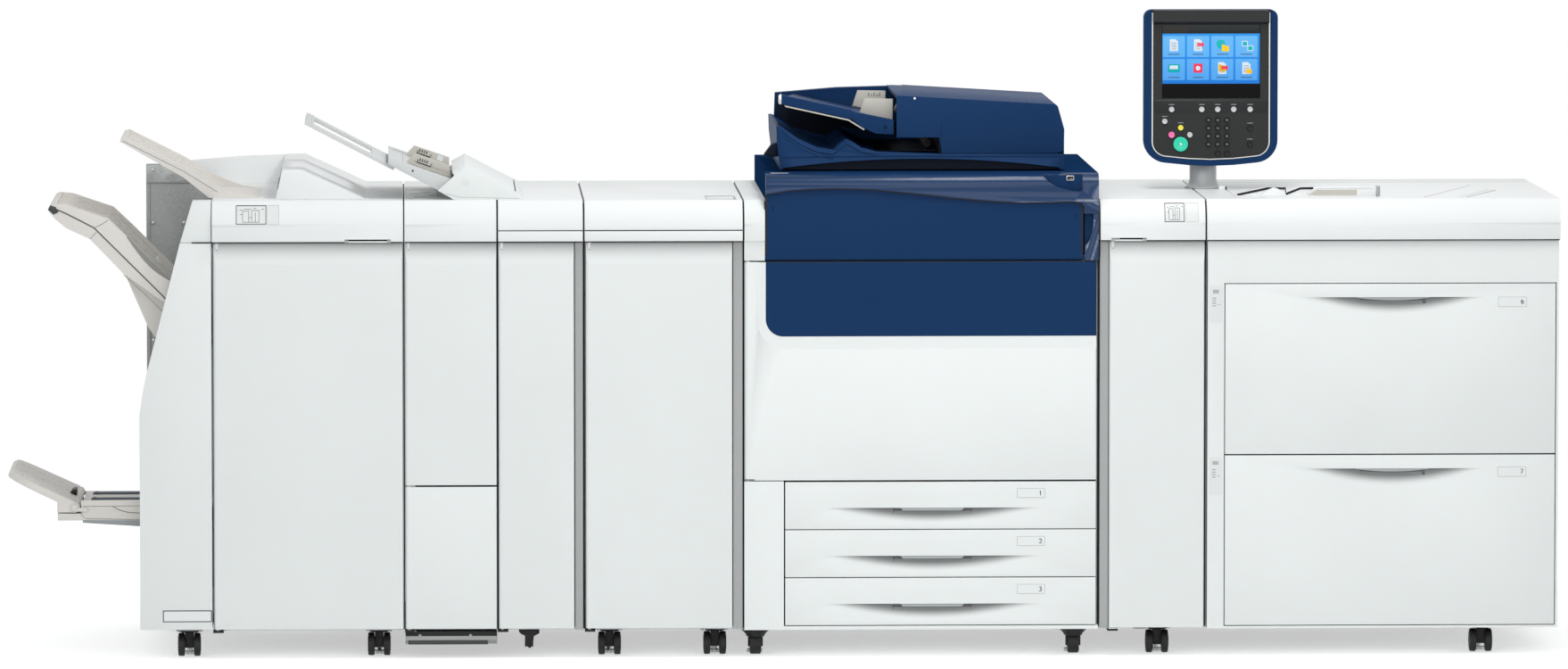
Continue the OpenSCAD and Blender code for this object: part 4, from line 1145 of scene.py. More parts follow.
@dataclass
class Carried(Assembly):
    """Pieces that keep their solids' shapes, with softened edges."""

    shells: tuple[str, ...] = ("finisher_left_cover", "inserter_body", "inserter_cover")
    fronts: tuple[str, ...] = ("finisher_door", "folder_upper_door", "folder_lower_door", "transport_door",
        "trimmer_door", "interface_door", "engine_door", "tray_1", "tray_2", "tray_3", "upper_drawer",
        "lower_drawer")
    covers: tuple[str, ...] = ("finisher_top_cover", "output_hood", "folder_top_cover", "transport_top_cover",
        "trimmer_top_cover", "interface_top_cover", "feeder_top_cover")
    frames: tuple[str, ...] = ("finisher_frame", "folder_frame", "transport_frame", "trimmer_frame",
        "engine_frame", "interface_frame", "feeder_frame")

    def build(self) -> None:
        """Carries the solids."""
        inset = self.line.inset
        for node in self.shells:
            self.shop.carry(node, SHELL, 1.2)
        for node in self.fronts:
            self.shop.carry(node, FRONT_PAINTED_SHADE)
        for node in self.covers:
            self.shop.carry(node, COVER, back=0.0 if node == "output_hood" else inset)
        for node in self.frames:
            self.shop.carry(node, SHELL, 0.8, back=inset)
        for node, soft in (("top_output_tray", 0.5), ("stacker_tray", 1.6), ("booklet_tray", 1),
                ("booklet_stop", 1)):
            self.shop.carry(node, BEIGE, soft)
        self.shop.carry("inserter_tray", TRAY, 1.2)
        self.shop.carry("inserter_extension", TRAY, 0.6)
        for node in ("inserter_front_guide", "inserter_rear_guide", "document_front_guide",
                "document_rear_guide"):
            self.shop.carry(node, GUIDE, 1.5)
        for node in ("door_panel", "document_feeder", "feed_cover", "document_tray", "panel_shell"):
            self.shop.carry(node, BLUE, 2)
        self.shop.carry("toner_cover", BLUE, 1.5)
        self.shop.carry("scanner_housing", GLOSS, 2, back=inset)
        self.shop.carry("finisher_rear_panel", METAL, 1, back=inset)
        self.shop.carry("panel_face", FACE, 1, smooth=10)
        self.shop.carry("panel_post", POST, 0.5)
        self.shop.carry("levelling_feet", STEEL, 0.8, longest=3)
        self.shop.carry("caster_forks", BLACK, 1, longest=5)
        for row in ("front_wheels", "rear_wheels"):
            self.shop.carry(row, TYRE, 3, longest=3)
        self.shop.dress("platen_glass", GLASS)
        self.shop.carry("imaging_unit", METAL, 0.5)
        self.shop.carry("toner_cartridges", BLACK, 1, longest=3)
        self.shop.carry("touch_screen", BLACK, 0.5)
        self.hinge_caps()
        self.shadow_lines()

    def hinge_caps(self) -> None:
        """Dark caps on the low brackets that the doors turn on."""
        door = self.line.door
        for node in ("finisher_door", "folder_lower_door", "transport_door", "trimmer_door",
                "interface_door"):
            low = corners(node)[0]
            shift = 1.0 if node == "folder_lower_door" else 2.0
            cap = Shape().box((low[0] - shift - 0.4, door - 0.4, low[2] - 7.4),
                (low[0] + 22.4 - shift, door + 37, low[2] - 2.7), 0.4)
            self.add(node + "_bracket_cap", cap, BLACK)

    def strips(self, name: str, spans: Sequence[tuple[Point, Point]]) -> None:
        """Dark strips of painted shadow behind the gaps, given as (X range, Z range)."""
        shape = Shape()
        for (x0, x1), (z0, z1) in spans:
            shape.box((x0, self.line.door + 25, z0), (x1, self.line.door + 33, z1))
        self.add(name, shape, BLACK)

    def shadow_lines(self) -> None:
        """Painted shadow: dark strips behind the gaps between drawers, and under the fascias of the top
        covers.
        """
        for name, nodes, topmost in (("engine_gap_shadows", ("tray_3", "tray_2", "tray_1", "engine_door"), "tray_1"),
                ("feeder_gap_shadows", ("lower_drawer", "upper_drawer"), "upper_drawer")):
            boxes = [corners(node) for node in nodes]
            x0, x1, foot = boxes[0][0][0], boxes[0][1][0], boxes[0][0][2]
            spans = [((x0 - 1, x1 + 1), (a[1][2] - 2, b[0][2] + 2)) for a, b in zip(boxes, boxes[1:])]
            spans.append(((x0 - 4, x0 + 2), (foot - 1, corners(topmost)[1][2] + 1)))
            spans.append(((x0 - 3, x1 + 1), (foot - 3, foot + 2)))
            self.strips(name, spans)
        for module in ("finisher", "folder", "transport", "trimmer", "interface", "feeder"):
            low, high = corners(module + "_top_cover")
            left = low[0] + (14 if module == "finisher" else 1)
            line = Shape().box((left, self.line.door - 1, self.line.fascia - 2.6),
                (high[0] - 1, self.line.door + 26, self.line.fascia - 0.2))
            self.add(module + "_fascia_shadow", line, BLACK)


@dataclass
class Finisher(Assembly):
    """Finisher: label, grips, access plate, and the fittings of its three output trays."""

    lead: str = "finisher_frame"

    def build(self) -> None:
        """Makes the pieces."""
        self.diagram("finisher_diagram", (64, 129), (940, 980), (131, 156))
        self.lift_bar((297, 396))
        self.access_plate()
        self.rear_sheet()
        self.exit_rollers()
        self.top_tray_ribs()
        self.stacker_fittings()
        self.booklet_belts()
        self.door_inside()
        self.seam(GAP)

    def access_plate(self) -> None:
        """A small plate near the foot of the left cover, in a thin shadow line."""
        self.plate("access_plate_shadow", (-96.4, 81.6), (9.2, 106.9), BLACK, "finisher_left_cover",
            proud=0.3, radius=1.4)
        self.plate("access_plate", (-94.4, 83.6), (7.2, 104.9), SHELL, "finisher_left_cover", proud=1.0,
            radius=0.8)

    def rear_sheet(self) -> None:
        """The upper field of the rear panel, a folded edge, screws and a seam."""
        front = self.line.back - 42
        deck = self.line.deck
        self.block("rear_sheet_top", (-144, front - 1.2, deck + 1), (-48, front + 0.2, deck + 39), SMOOTH,
            "finisher_rear_panel", soft=0.4)
        trim = self.shape().box((-144.6, front - 2.4, deck - 1.5), (-47.4, front + 0.2, deck + 0.8), 0.5)
        trim.box((-139, front - 2, 100), (-136, front + 0.2, deck - 2), 0.6)
        self.add("rear_sheet_fold", trim, METAL, "finisher_rear_panel")
        screws = self.shape()
        for x in (-130, -62):
            for z in (130, 400, 640, 900, deck + 28):
                screws.lathe((x, front - 1.2, z),
                    ((0.2, -2.2), (3.6, -1.9), (4.2, -1.0), (4.2, 0.4), (0.2, 0.4)), 20)
        self.add("rear_sheet_screws", screws, STEEL, "finisher_rear_panel")

    def exit_rollers(self) -> None:
        """Rubber rollers and their shaft in the mouth of the hood, and a comb of anti-static brushes."""
        x, z = 162, self.line.deck + 20
        shaft = self.shape().bar((x, -235, z), (x, 105, z), 4, soft=0.5)
        self.add("exit_shaft", shaft, STEEL)
        rolls = self.shape()
        for i in range(6):
            y = -212 + i * 54
            rolls.lathe((x, y, z), roller(4.2, 11, 24), 28)
        self.add("exit_rollers", rolls, SKIRT)
        comb = self.shape().box((157, -226, z + 21), (161, 96, z + 25), 0.5)
        for i in range(40):
            comb.box((158.4, -222 + i * 8, z + 12), (159.2, -221 + i * 8, z + 22))
        self.add("exit_brush", comb, SKIRT)

    def top_tray_ribs(self) -> None:
        """Long ribs that keep the sheets off the tray, and a stop ledge."""
        deck = self.line.deck
        line = moved(0, deck, (-171, 123.5), (-48, 61.5), (24, 8))
        ribs = self.shape()
        for i in range(4):
            y = -180 + i * 76
            ribs.prism([(a, b - 2) for a, b in line] + [(a, b + 1.2) for a, b in line[::-1]], y, y + 8)
        self.add("top_tray_ribs", ribs, BEIGE, "top_output_tray")
        toe = self.shape()
        rim = moved(0, deck, (-48, 57.8), (10, 31), (68, 8), (113, 0.7), (113, 0.1), (40, 0.1), (24, 4))
        for y in (-234.6, 93.4):
            toe.prism(rim, y, y + 11.2)
        toe.prism(moved(0, deck, (12, 8), (112, 0.9), (112, 0.1), (20, 5)), -224, 94)
        self.add("top_tray_toe", toe, BEIGE, "top_output_tray")
        self.stripe("top_tray_line", moved(0, deck, (-181, 123.6), (-52, 58.6), (22, 13)), 1.2,
            (-235.35, -234.8), SHADE, "top_output_tray")

    def stacker_fittings(self) -> None:
        """Ribs, painted shade of the finger cut-out, seams and painted crease shade of the slab, the clip and
        the paper sensor flag.
        """
        surface = [(-322, 972), (-302, 970.5), (-216, 941.5), (-178, 903), (-84, 809), (-12, 736)]
        ribs = self.shape()
        for i in range(6):
            y = -236 + i * 66
            ribs.prism([(a, b - 3) for a, b in surface] + [(a, b + 2.6) for a, b in surface[::-1]], y,
                y + 6, 0.9)
        self.add("stacker_ribs", ribs, BEIGE, "stacker_tray")
        near = -285.0
        # Painted shade: a dark flat sheet where the finger cut-out is shaded, with dark lines along its rim
        # and the slab's creases.
        recess_shade = [(-171.5, 909)] + [(-171.5 + 95.7 * t, 909 - 96.2 * t - 15 * math.sin(math.pi * t))
            for t in (0.12, 0.25, 0.4, 0.55, 0.7, 0.85)] + [(-76, 812.8)]
        self.slab("stacker_finger_hollow_shade", recess_shade[::-1], (near - 0.5, near + 0.3), SHADE, "stacker_tray")
        rim = self.shape().ribbon(recess_shade, 2.4, near - 0.9, near + 0.3)
        for points, width in (([(-239.4, 929), (-225, 936.5), (-212, 945)], 1.2),
                ([(-237.7, 919), (-251, 904.5)], 1.2), ([(-180, 827), (-131, 781.6), (-96, 747)], 1.6)):
            rim.ribbon(points, width, near - 0.5, near + 0.3)
        self.add("stacker_seams_and_crease_shade", rim, SHADE, "stacker_tray")
        # Painted shadow along the split between the upper and lower shell.
        self.stripe("stacker_split_shadow", [(-333, 972), (-306.4, 960.6), (-280.7, 947.7), (-242.7, 928),
            (-194.5, 879.7), (-146.3, 831.6), (-96.4, 781.6), (-50, 735)], 2.6, (near - 0.6, near + 0.3), GAP,
            "stacker_tray")
        self.slab("stacker_clip", [(-342, 968), (-330, 957), (-319, 962), (-325, 973), (-337, 977)],
            (near - 1.4, near + 0.3), SKIRT, "stacker_tray", soft=0.6)
        self.slab("stacker_flag", [(-124, 838), (-106, 826), (-103, 838), (-112, 849)], (-6, 4), LABEL,
            "stacker_tray", soft=1.2)

    def booklet_belts(self) -> None:
        """Conveyor belts and rollers of the booklet tray, dark pivots, painted shade along a chamfer and a
        crease, and the grooved stop.
        """
        belts, rollers = self.shape(), self.shape()
        for y in (-232, -92, 48):
            belts.prism(rounded((-262, 300), (4, 325), 12), y, y + 36, 0.6)
            for x in (-250, -8):
                rollers.lathe((x, y - 4, 313), ((0.5, 0), (11, 0), (12.6, 1), (12.6, 3), (0.5, 3)), 28)
                rollers.lathe((x, y + 37, 313), ((0.5, 0), (12.6, 0), (12.6, 2), (11, 3), (0.5, 3)), 28)
        self.add("booklet_belts", belts, BELT, "booklet_tray")
        self.add("booklet_belt_flanges", rollers, SKIRT, "booklet_tray")
        caps = self.shape()
        for y, out in ((-271, -1), (141, 1)):
            caps.lathe((-288, y, 321), ((0.3, out * 2.2), (5.4, out * 1.8), (6.6, 0.2 * out),
                (6.6, -0.3 * out), (0.3, -0.3 * out)), 28)
        self.add("booklet_pivots", caps, BEIGE, "booklet_tray")
        near = -265.0
        self.slab("booklet_underside", [(-270.5, 294), (-140, 293), (-140, 280), (-148, 280),
            (-270.5, 288.3)], (near - 0.5, near + 0.3), INNER, "booklet_tray")
        # Painted shade: dark lines along the chamfer of the near side and along the crease of its finger
        # recess.
        line = self.shape()
        for points, width in (([(-268, 321.8), (-274, 305), (-264, 297), (-140, 294.6)], 1.2),
                ([(-206, 323.6), (-190.7, 315.1), (-171, 310.1), (-140, 308.7)], 2.0),
                ([(-268, 323.8), (-140, 324.6)], 1.0)):
            line.ribbon(points, width, near - 0.5, near + 0.3)
        self.add("booklet_chamfer_and_crease_shade", line, SHADE, "booklet_tray")
        ribs = self.shape()
        for y in (-190, -80, 30):
            ribs.ribbon([(-410, 389.6), (-300, 339.4)], 1.6, y, y + 26)
        self.add("booklet_stop_ribs", ribs, BEIGE, "booklet_stop")
        knuckle = self.shape()
        knuckle.prism([(-304, 338), (-297, 347), (-288, 348.5), (-288, 334), (-296, 332)], -118, -52, 1.5)
        self.add("booklet_stop_knuckles", knuckle, BLACK, "booklet_stop")

    def door_inside(self) -> None:
        """Behind the door: a folded inner sheet, green levers and knobs on the roller shafts."""
        y = self.line.door + 36
        sheet = self.shape().box((20, y + 12, 470), (self.width - 8, y + 14, 740), 0.6)
        sheet.box((20, y + 12, 90), (self.width - 8, y + 14, 440), 0.6)
        self.add("finisher_inner_sheets", sheet, INNER)
        self.knobs((122, 192, 262, 332), 780, (15, 14), BLACK)
        levers = self.shape()
        for x, z in ((80, 680), (230, 620), (330, 520), (120, 300), (290, 240)):
            levers.prism(rounded((x, z), (x + 16, z + 58), 6), y + 4, y + 12, 1)
            levers.bar((x + 8, y + 4, z + 10), (x + 8, y + 15, z + 10), 11, soft=1)
        self.add("finisher_levers", levers, LEVER)


@dataclass
class Folder(Assembly):
    """Folder: its dark base, the seam beside it and its inner parts."""

    lead: str = "folder_frame"

    def build(self) -> None:
        """Makes the pieces."""
        wide, line = self.width, self.line
        front = line.door + 15
        base = self.shape().box((-0.3, front - 0.4, 43.6), (wide + 0.3, 300.4, 57.9), 1)
        base.box((5.6, front - 0.4, 29.6), (wide - 19.6, 280.4, 44), 1)
        base.box((29.6, line.door + 44, 57), (wide - 29.6, 280.4, 59.8))
        self.add("folder_base", base, SKIRT)
        self.block("folder_base_shadow", (-0.3, front - 1, 49.6), (wide + 0.3, front, 57.9), BLACK, soft=0.3)
        sill = self.shape().prism(moved(front, 0, (-1.6, 40), (12, 29.8), (12, 36), (-1.6, 48)), -0.3,
            wide + 0.3, 0.4, axis=Axis.X)
        sill.box((28, front - 2.2, 45.4), (34, front, 52), 0.4)
        sill.box((wide - 60, front - 2.2, 45.4), (wide - 54, front, 52), 0.4)
        self.add("folder_base_sill", sill, GREY_AND_SHADE)
        self.seam()
        self.block("folder_lid_slot", (-0.2, line.nose + 0.05, line.deck - 64.8),
            (0.6, line.nose + 0.6, line.deck - 63.2), INK)
        levers = self.shape()
        for z in (456, 536, 616):
            levers.lathe((100, line.door + 37, z + 24),
                ((0.5, 0), (15, 0), (18, 2), (18, 12), (14, 15), (0.5, 15)), 28)
        self.add("folder_knobs", levers, LEVER)
        sheet = self.inner_sheets((90, 440))
        sheet.prism([(30, 660), (wide - 30, 660), (wide - 30, 800), (70, 860), (30, 840)], line.door + 50,
            line.door + 52, 0.6)
        self.add("folder_inner_sheets", sheet, INNER)
        self.add("folder_deck_label", self.shape().prism(rounded((4, line.nose + 42), (70, 8), 3),
            line.deck - 0.2, line.deck + 0.35, axis=Axis.Z), LABEL)
        marks = self.shape()
        for i, (x, run) in enumerate(((8, 10), (20, 26), (50, 16), (12, 20), (36, 24))):
            y = line.nose + 80 + i * 60
            marks.box((x, y, line.deck + 0.2), (x + run, y + 14, line.deck + 0.5))
        self.add("folder_deck_print", marks, FAINT)


@dataclass
class Inserter(Assembly):
    """Sheet inserter: rollers in its mouth, plates, windows in the guides and lines on the tray."""

    lead: str = "folder_top_cover"

    def build(self) -> None:
        """Makes the pieces."""
        deck = self.line.deck
        low, high = corners("inserter_body")
        near, far = low[1], high[1]
        shaft = self.shape().bar((142, near + 12, deck + 39), (142, far - 12, deck + 39), 3, soft=0.4)
        self.add("separator_shaft", shaft, STEEL)
        rolls = self.shape()
        for y in (-190, -115, -15, 60):
            rolls.lathe((142, y - 16, deck + 39), roller(3.1, 9.5, 32), 28)
        self.add("separator_rollers", rolls, TYRE)
        side = near - 0.4
        self.slab("inserter_plate", moved(0, deck, (121, 33), (137, 29), (141, 41), (125, 46)),
            (side, near + 0.2), LABEL)
        marks = self.shape().bar((18, near + 19.6, deck + 62), (18, near + 20.4, deck + 62), 2.2)
        self.add("inserter_marks", marks, BLACK)
        self.stripe("inserter_seam", moved(0, deck, (88, 14), (118, 6), (246, 3)), 0.8,
            (side + 0.1, near + 0.2), FAINT)
        lines = self.shape()
        for y in (-286, -262, 92, 116):
            lines.ribbon([(-26, deck + 85.1), (92, deck + 43.5)], 0.5, y, y + 1.2)
        for x in (-4, 18, 40, 62):
            z = deck + 89.8 - (x + 40) * 0.3531
            lines.ribbon([(x, z + 0.1), (x + 1.2, z - 0.3)], 0.5, -262, 92)
        self.add("inserter_tray_lines", lines, FAINT)
        self.guides(deck)
        self.extension(deck)

    def guides(self, deck: float) -> None:
        """Dark windows and a pale square on the rear guide, and a shallow line on the front one."""
        y = 70.0
        for side, face, up in (("front", -235.0, -3), ("rear", y, 0)):
            name = f"inserter_{side}_guide"
            self.slab(f"guide_label_{side}", [(28, deck + 79 + up), (56, deck + 70 + up),
                (60, deck + 80 + up), (32, deck + 90 + up)], (face - 0.4, face + 0.3), GUIDE, name)
            dark = self.shape().ribbon([(27, deck + 80 + up), (57, deck + 69.5 + up)], 2.6, face - 0.7,
                face + 0.3)
            for a, b in moved(0, deck, (33, 83.6), (38, 81.9), (43, 80.2), (48, 78.5)):
                dark.ribbon([(a, b + up - 2), (a + 2, b + up + 4)], 2.4, face - 0.7, face + 0.3)
            for a, b in ((28.5, deck + 81), (57.5, deck + 71)):
                dark.ribbon([(a, b + up), (a + 1.5, b + up + 5)], 1.6, face - 0.7, face + 0.3)
            self.add(f"guide_print_{side}", dark, INK, name)
        self.slab("guide_square", moved(0, deck, (71, 64), (83, 60), (86, 71), (74, 75)), (y - 0.4, y + 0.3),
            LABEL, "inserter_rear_guide")
        self.stripe("guide_line", [(20, deck + 80), (94, deck + 54)], 0.8, (-235.3, -234.8), SHADE,
            "inserter_front_guide")

    def extension(self, deck: float) -> None:
        """Two grip ribs near the end of the sliding extension."""
        slope = math.radians(27.5)

        def on_tray(run: float, height: float) -> Point:
            """The (X, Z) point at that run up the slope and height over it."""
            return (72 - run * math.cos(slope) + height * math.sin(slope),
                deck + 20 + run * math.sin(slope) + height * math.cos(slope))

        ribs = self.shape()
        for run in (303, 311):
            ribs.prism([on_tray(run, -2), on_tray(run + 4, -2), on_tray(run + 4, 0.4), on_tray(run, 0.4)],
                -258, 88, 0.4)
        self.add("extension_ribs", ribs, TRAY, "inserter_extension")


@dataclass
class Transport(Assembly):
    """Transport module: grey side strip, black fascia line, docking foot and inner levers."""

    lead: str = "transport_frame"

    def build(self) -> None:
        """Makes the pieces."""
        line, wide = self.line, self.width
        self.side_strip((wide - 16.6, wide - 0.2))
        self.fascia_line()
        foot = self.shape().prism([(46, 60), (88, 60), (88, 50), (76, 44), (74, 24), (67, 17), (60, 24),
            (58, 44), (46, 50)], line.door + 44, line.door + 50, 1.5)
        foot.box((48, line.door + 50, 48), (86, line.door + 96, 53), 1)
        self.add("docking_foot", foot, BLACK)
        levers = self.shape()
        for z in (580, 660):
            levers.prism(rounded((40, z), (54, z + 50), 6), line.door + 38, line.door + 46, 1)
        self.add("transport_levers", levers, LEVER)
        self.add("transport_inner_sheets", self.inner_sheets((90, 520), (760, 880)), INNER)
        self.seam()


@dataclass
class Trimmer(Assembly):
    """Trimmer module: grey side strip, fascia line, finger recess and inner parts."""

    lead: str = "trimmer_frame"

    def build(self) -> None:
        """Makes the pieces."""
        line, wide = self.line, self.width
        self.side_strip((wide - 19.6, wide - 0.2))
        self.fascia_line()
        rim = self.shape()
        for x0, y0, x1, y1 in ((-78, -332, -12, -330), (-78, -200, -12, -198), (-78, -330, -76, -200),
                (-14, -330, -12, -200)):
            rim.box((wide + x0, y0, line.deck - 1), (wide + x1, y1, line.deck + 0.5), 0.2)
        self.add("finger_recess_rim", rim, FAINT)
        self.block("finger_recess_floor", (wide - 75.6, -329.6, line.deck - 10.2),
            (wide - 14.4, -200.4, line.deck - 9.5), GREY_AND_SHADE)
        self.add("trimmer_inner_sheets", self.inner_sheets((440, 660), (90, 400)), INNER)
        self.knobs((60, 130, 200, 270), 700, (15, 13), LEVER)
        self.seam()


@dataclass
class Engine(Assembly):
    """Print engine: sloped rim of its door, drawer fittings, number plates, marks and inner parts."""

    lead: str = "engine_frame"

    def build(self) -> None:
        """Makes the pieces."""
        self.door_rim()
        self.drawer_fittings()
        self.toner_fittings()
        self.inner_parts()
        self.seam()

    def door_rim(self) -> None:
        """The sloped white rim between the door's front and its blue panel."""
        door = self.line.door
        low, high = corners("door_panel")
        panel = (low[0] - self.left, low[2])
        top, right = high[2], high[0] - self.left
        outer_r, inner_r = 54.0, 38.0
        outer = (30 + outer_r, 669 + outer_r)
        inner = (panel[0] + inner_r, panel[1] + inner_r)
        rows = []
        for (x, z), radius, y in ((outer, outer_r, door + 0.1), (inner, inner_r, door + 2.6),
                (inner, inner_r, door + 7.4), (outer, outer_r, door + 7.4)):
            curve = arc(x, z, radius, 180, 270, 10)
            rows.append([(curve[0][0], y, top)] + [(a, y, b) for a, b in curve] + [(right, y, curve[-1][1])])
        self.add("door_rim", self.shape().skin(rows), SHELL, "engine_door", smooth=50)
        self.block("door_latch", (1, door - 0.8, 384.5), (22, door + 6, 386.5), GAP, soft=0.4)

    def drawer_fittings(self) -> None:
        """Number plates, dark grips and their sills, steel runners and paper guides."""
        door = self.line.door
        for number in (1, 2, 3):
            tray = f"tray_{number}"
            low = corners(tray)[0]
            self.number_plate(tray, number, (588.6, 649.4), (low[2] + 67.5, 20.1), (636, 4.6))
            self.slab(f"{tray}_grip", [(336.5, low[2] + 46.3), (475.5, low[2] + 46.3), (470, low[2] + 39.2),
                (342, low[2] + 39.2)], (door + 6, door + 14.8), GRIP, tray, soft=0.6)
            self.sill(tray, 406, low[2] + 46, 84, (234, 36))
            self.runners(tray, (101, 746), (low[2] + 30, low[2] + 44))
            guides = self.shape().box((180, door + 60, low[2] + 9.6), (184, door + 480, low[2] + 60), 1)
            guides.box((600, door + 60, low[2] + 9.6), (604, door + 480, low[2] + 60), 1)
            guides.box((190, door + 120, low[2] + 9.6), (594, door + 470, low[2] + 12), 0.8)
            self.add(f"{tray}_paper_guides", guides, SKIRT, tray)

    def toner_fittings(self) -> None:
        """Small marks on the toner cover, and painted shadow: a dark line round it and a dark strip in the
        gap at its foot.
        """
        y = self.line.door + 1
        marks = self.shape().box((60.4, y - 0.25, 964), (61.8, y + 0.2, 977), 0.1)
        marks.box((715, y - 0.25, 946), (716.4, y + 0.2, 958), 0.1)
        self.add("toner_cover_marks", marks, DEEP, "toner_cover")
        foot = corners("toner_cover")[0][2]
        crown = [(46.9, foot + 14), (46.9, 1000.6), (98, 1009.5), (145, 1012.9), (192, 1014.3), (236, 1013.5),
            (280, 1011.2), (368, 1002.4), (451, 992.9), (533, 985.9), (602, 982.9), (712, 984.9),
            (723.6, 981.4), (728.8, 972.4), (728.8, foot + 14)]
        self.stripe("toner_cover_edge_shadow", crown, 4.0, (y - 0.3, y + 3), BLACK, "toner_cover")
        self.block("toner_cover_foot_shadow", (46, y + 1.2, foot - 2.8), (729, y + 16, foot - 0.9), BLACK,
            "engine_door")

    def inner_parts(self) -> None:
        """Toner caps, drum coatings, painted shadow in the gap beside the column, the belt, inner covers and
        levers.
        """
        front = self.line.door + 35
        centre = self.line.fascia + 5
        for i, finish in enumerate((CYAN, MAGENTA, AMBER, BLACK)):
            x = 140 + i * 160
            cap = self.shape().lathe((x, front + 0.2, centre),
                ((0.5, 0), (27, 0), (30.4, 2), (30.4, 9), (36, 9.4), (36, 10.6), (0.5, 10.6)), 40)
            cap.prism(moved(x, front, (-17, -2.6), (17, -2.6), (17, 0.6), (-17, 0.6)), centre - 4, centre + 4,
                1, axis=Axis.Z)
            self.add(f"toner_cap_{i + 1}", cap, finish)
        drums = self.shape()
        for i in range(4):
            drums.lathe((190 + i * 130, front + 29, 700), roller(6, 30.6, 269, (0.2, 1)), 48)
        self.add("drum_coatings", drums, COPPER)
        # Painted shadow: a black strip in the gap beside the white column.
        self.block("column_gap_shadow", (42.6, self.line.door + 3, 858), (45.2, self.line.door + 24, 987), BLACK)
        self.slab("transfer_belt", [p for x, a in ((610, -90), (160, 90))
            for p in arc(x, 640, 26.4, a, a + 180, 12)], (front + 29, front + 300), BELT)
        inner = self.shape().box((14, front + 4, 396), (750, front + 6, 600), 0.6)
        inner.prism(rounded((14, 760), (750, 850), 10), front + 4, front + 6, 0.6)
        self.add("engine_inner_covers", inner, INNER)
        levers = self.shape()
        for x, z in ((70, 520), (340, 470), (620, 540), (120, 790), (660, 790)):
            levers.lathe((x, front - 4, z), ((0.5, 0), (14, 0), (17, 2), (17, 8), (0.5, 8)), 28)
            levers.prism(rounded((x - 5, z - 34), (x + 5, z + 4), 4), front - 6, front - 1, 0.8)
        self.add("engine_levers", levers, LEVER)


@dataclass
class Scanner(Assembly):
    """Scanner housing: USB port and recess, handle recess, silver strip and platen surround."""

    lead: str = "engine_frame"

    def build(self) -> None:
        """Makes the pieces."""
        line, wide = self.line, self.width
        top = line.deck + 57
        bay = wide - 33
        self.slab("port_recess_floor", moved(bay, top, (-90, -4), (-75, -17.4), (-55, -28.4), (-22, -37.4),
            (-7, -38.4), (-2.6, -33), (-2.6, -4)), (line.nose + 15.2, line.nose + 15.8), BLUE)
        self.slab("port_shell", rounded((bay - 36.4, top - 15.6), (bay - 20.2, top - 5.2), 1.6),
            (line.nose + 11.6, line.nose + 15.4), TRIM, soft=0.3)
        self.block("port_socket", (bay - 35.2, line.nose + 11.3, top - 14.4),
            (bay - 21.4, line.nose + 11.8, top - 6.4), BLACK, soft=0.1)
        self.block("port_tongue", (bay - 29, line.nose + 10.9, top - 12.6),
            (bay - 23.2, line.nose + 11.5, top - 11.4), GREY_AND_SHADE)
        self.slab("handle_recess_floor", moved(bay, 0, (3.2, 892.5), (13.6, 904.4), (18.6, 919.2),
            (20.6, 937), (21.6, 958.6), (3.2, 958.6)), (line.door + 11.2, line.door + 11.9), BLUE)
        self.stripe("handle_recess_edge", moved(bay, 0, (6, 893), (14, 904), (19, 919), (21, 937), (22, 959)),
            0.9, (line.door - 0.3, line.door + 4), GLOSS)
        self.block("maker_strip", (57, line.nose + 29, top - 0.2), (96, line.nose + 37, top + 0.9), TRIM,
            soft=0.4)
        self.block("sensor_window", (105, line.nose + 29, top - 0.2), (155, line.nose + 35, top + 0.4), DEEP,
            soft=0.2)
        low, high = corners("platen_glass")
        rim = self.shape()
        x0, x1 = low[0] - self.left, high[0] - self.left
        for a, b in (((x0 - 12, low[1] - 12), (x1 + 12, low[1])),
                ((x0 - 12, high[1]), (x1 + 12, high[1] + 12)), ((x0 - 12, low[1]), (x0, high[1])),
                ((x1, low[1]), (x1 + 12, high[1]))):
            rim.box((*a, top - 0.2), (*b, top + 0.9), 0.3)
        self.add("platen_surround", rim, SKIRT)
        marks = self.shape()
        for i in range(13):
            x = x0 + 20 + i * 38
            marks.box((x, low[1] - 9, top + 0.8), (x + 1, low[1] - (2 if i % 4 == 0 else 5), top + 1.1))
        self.add("platen_scale", marks, LABEL)


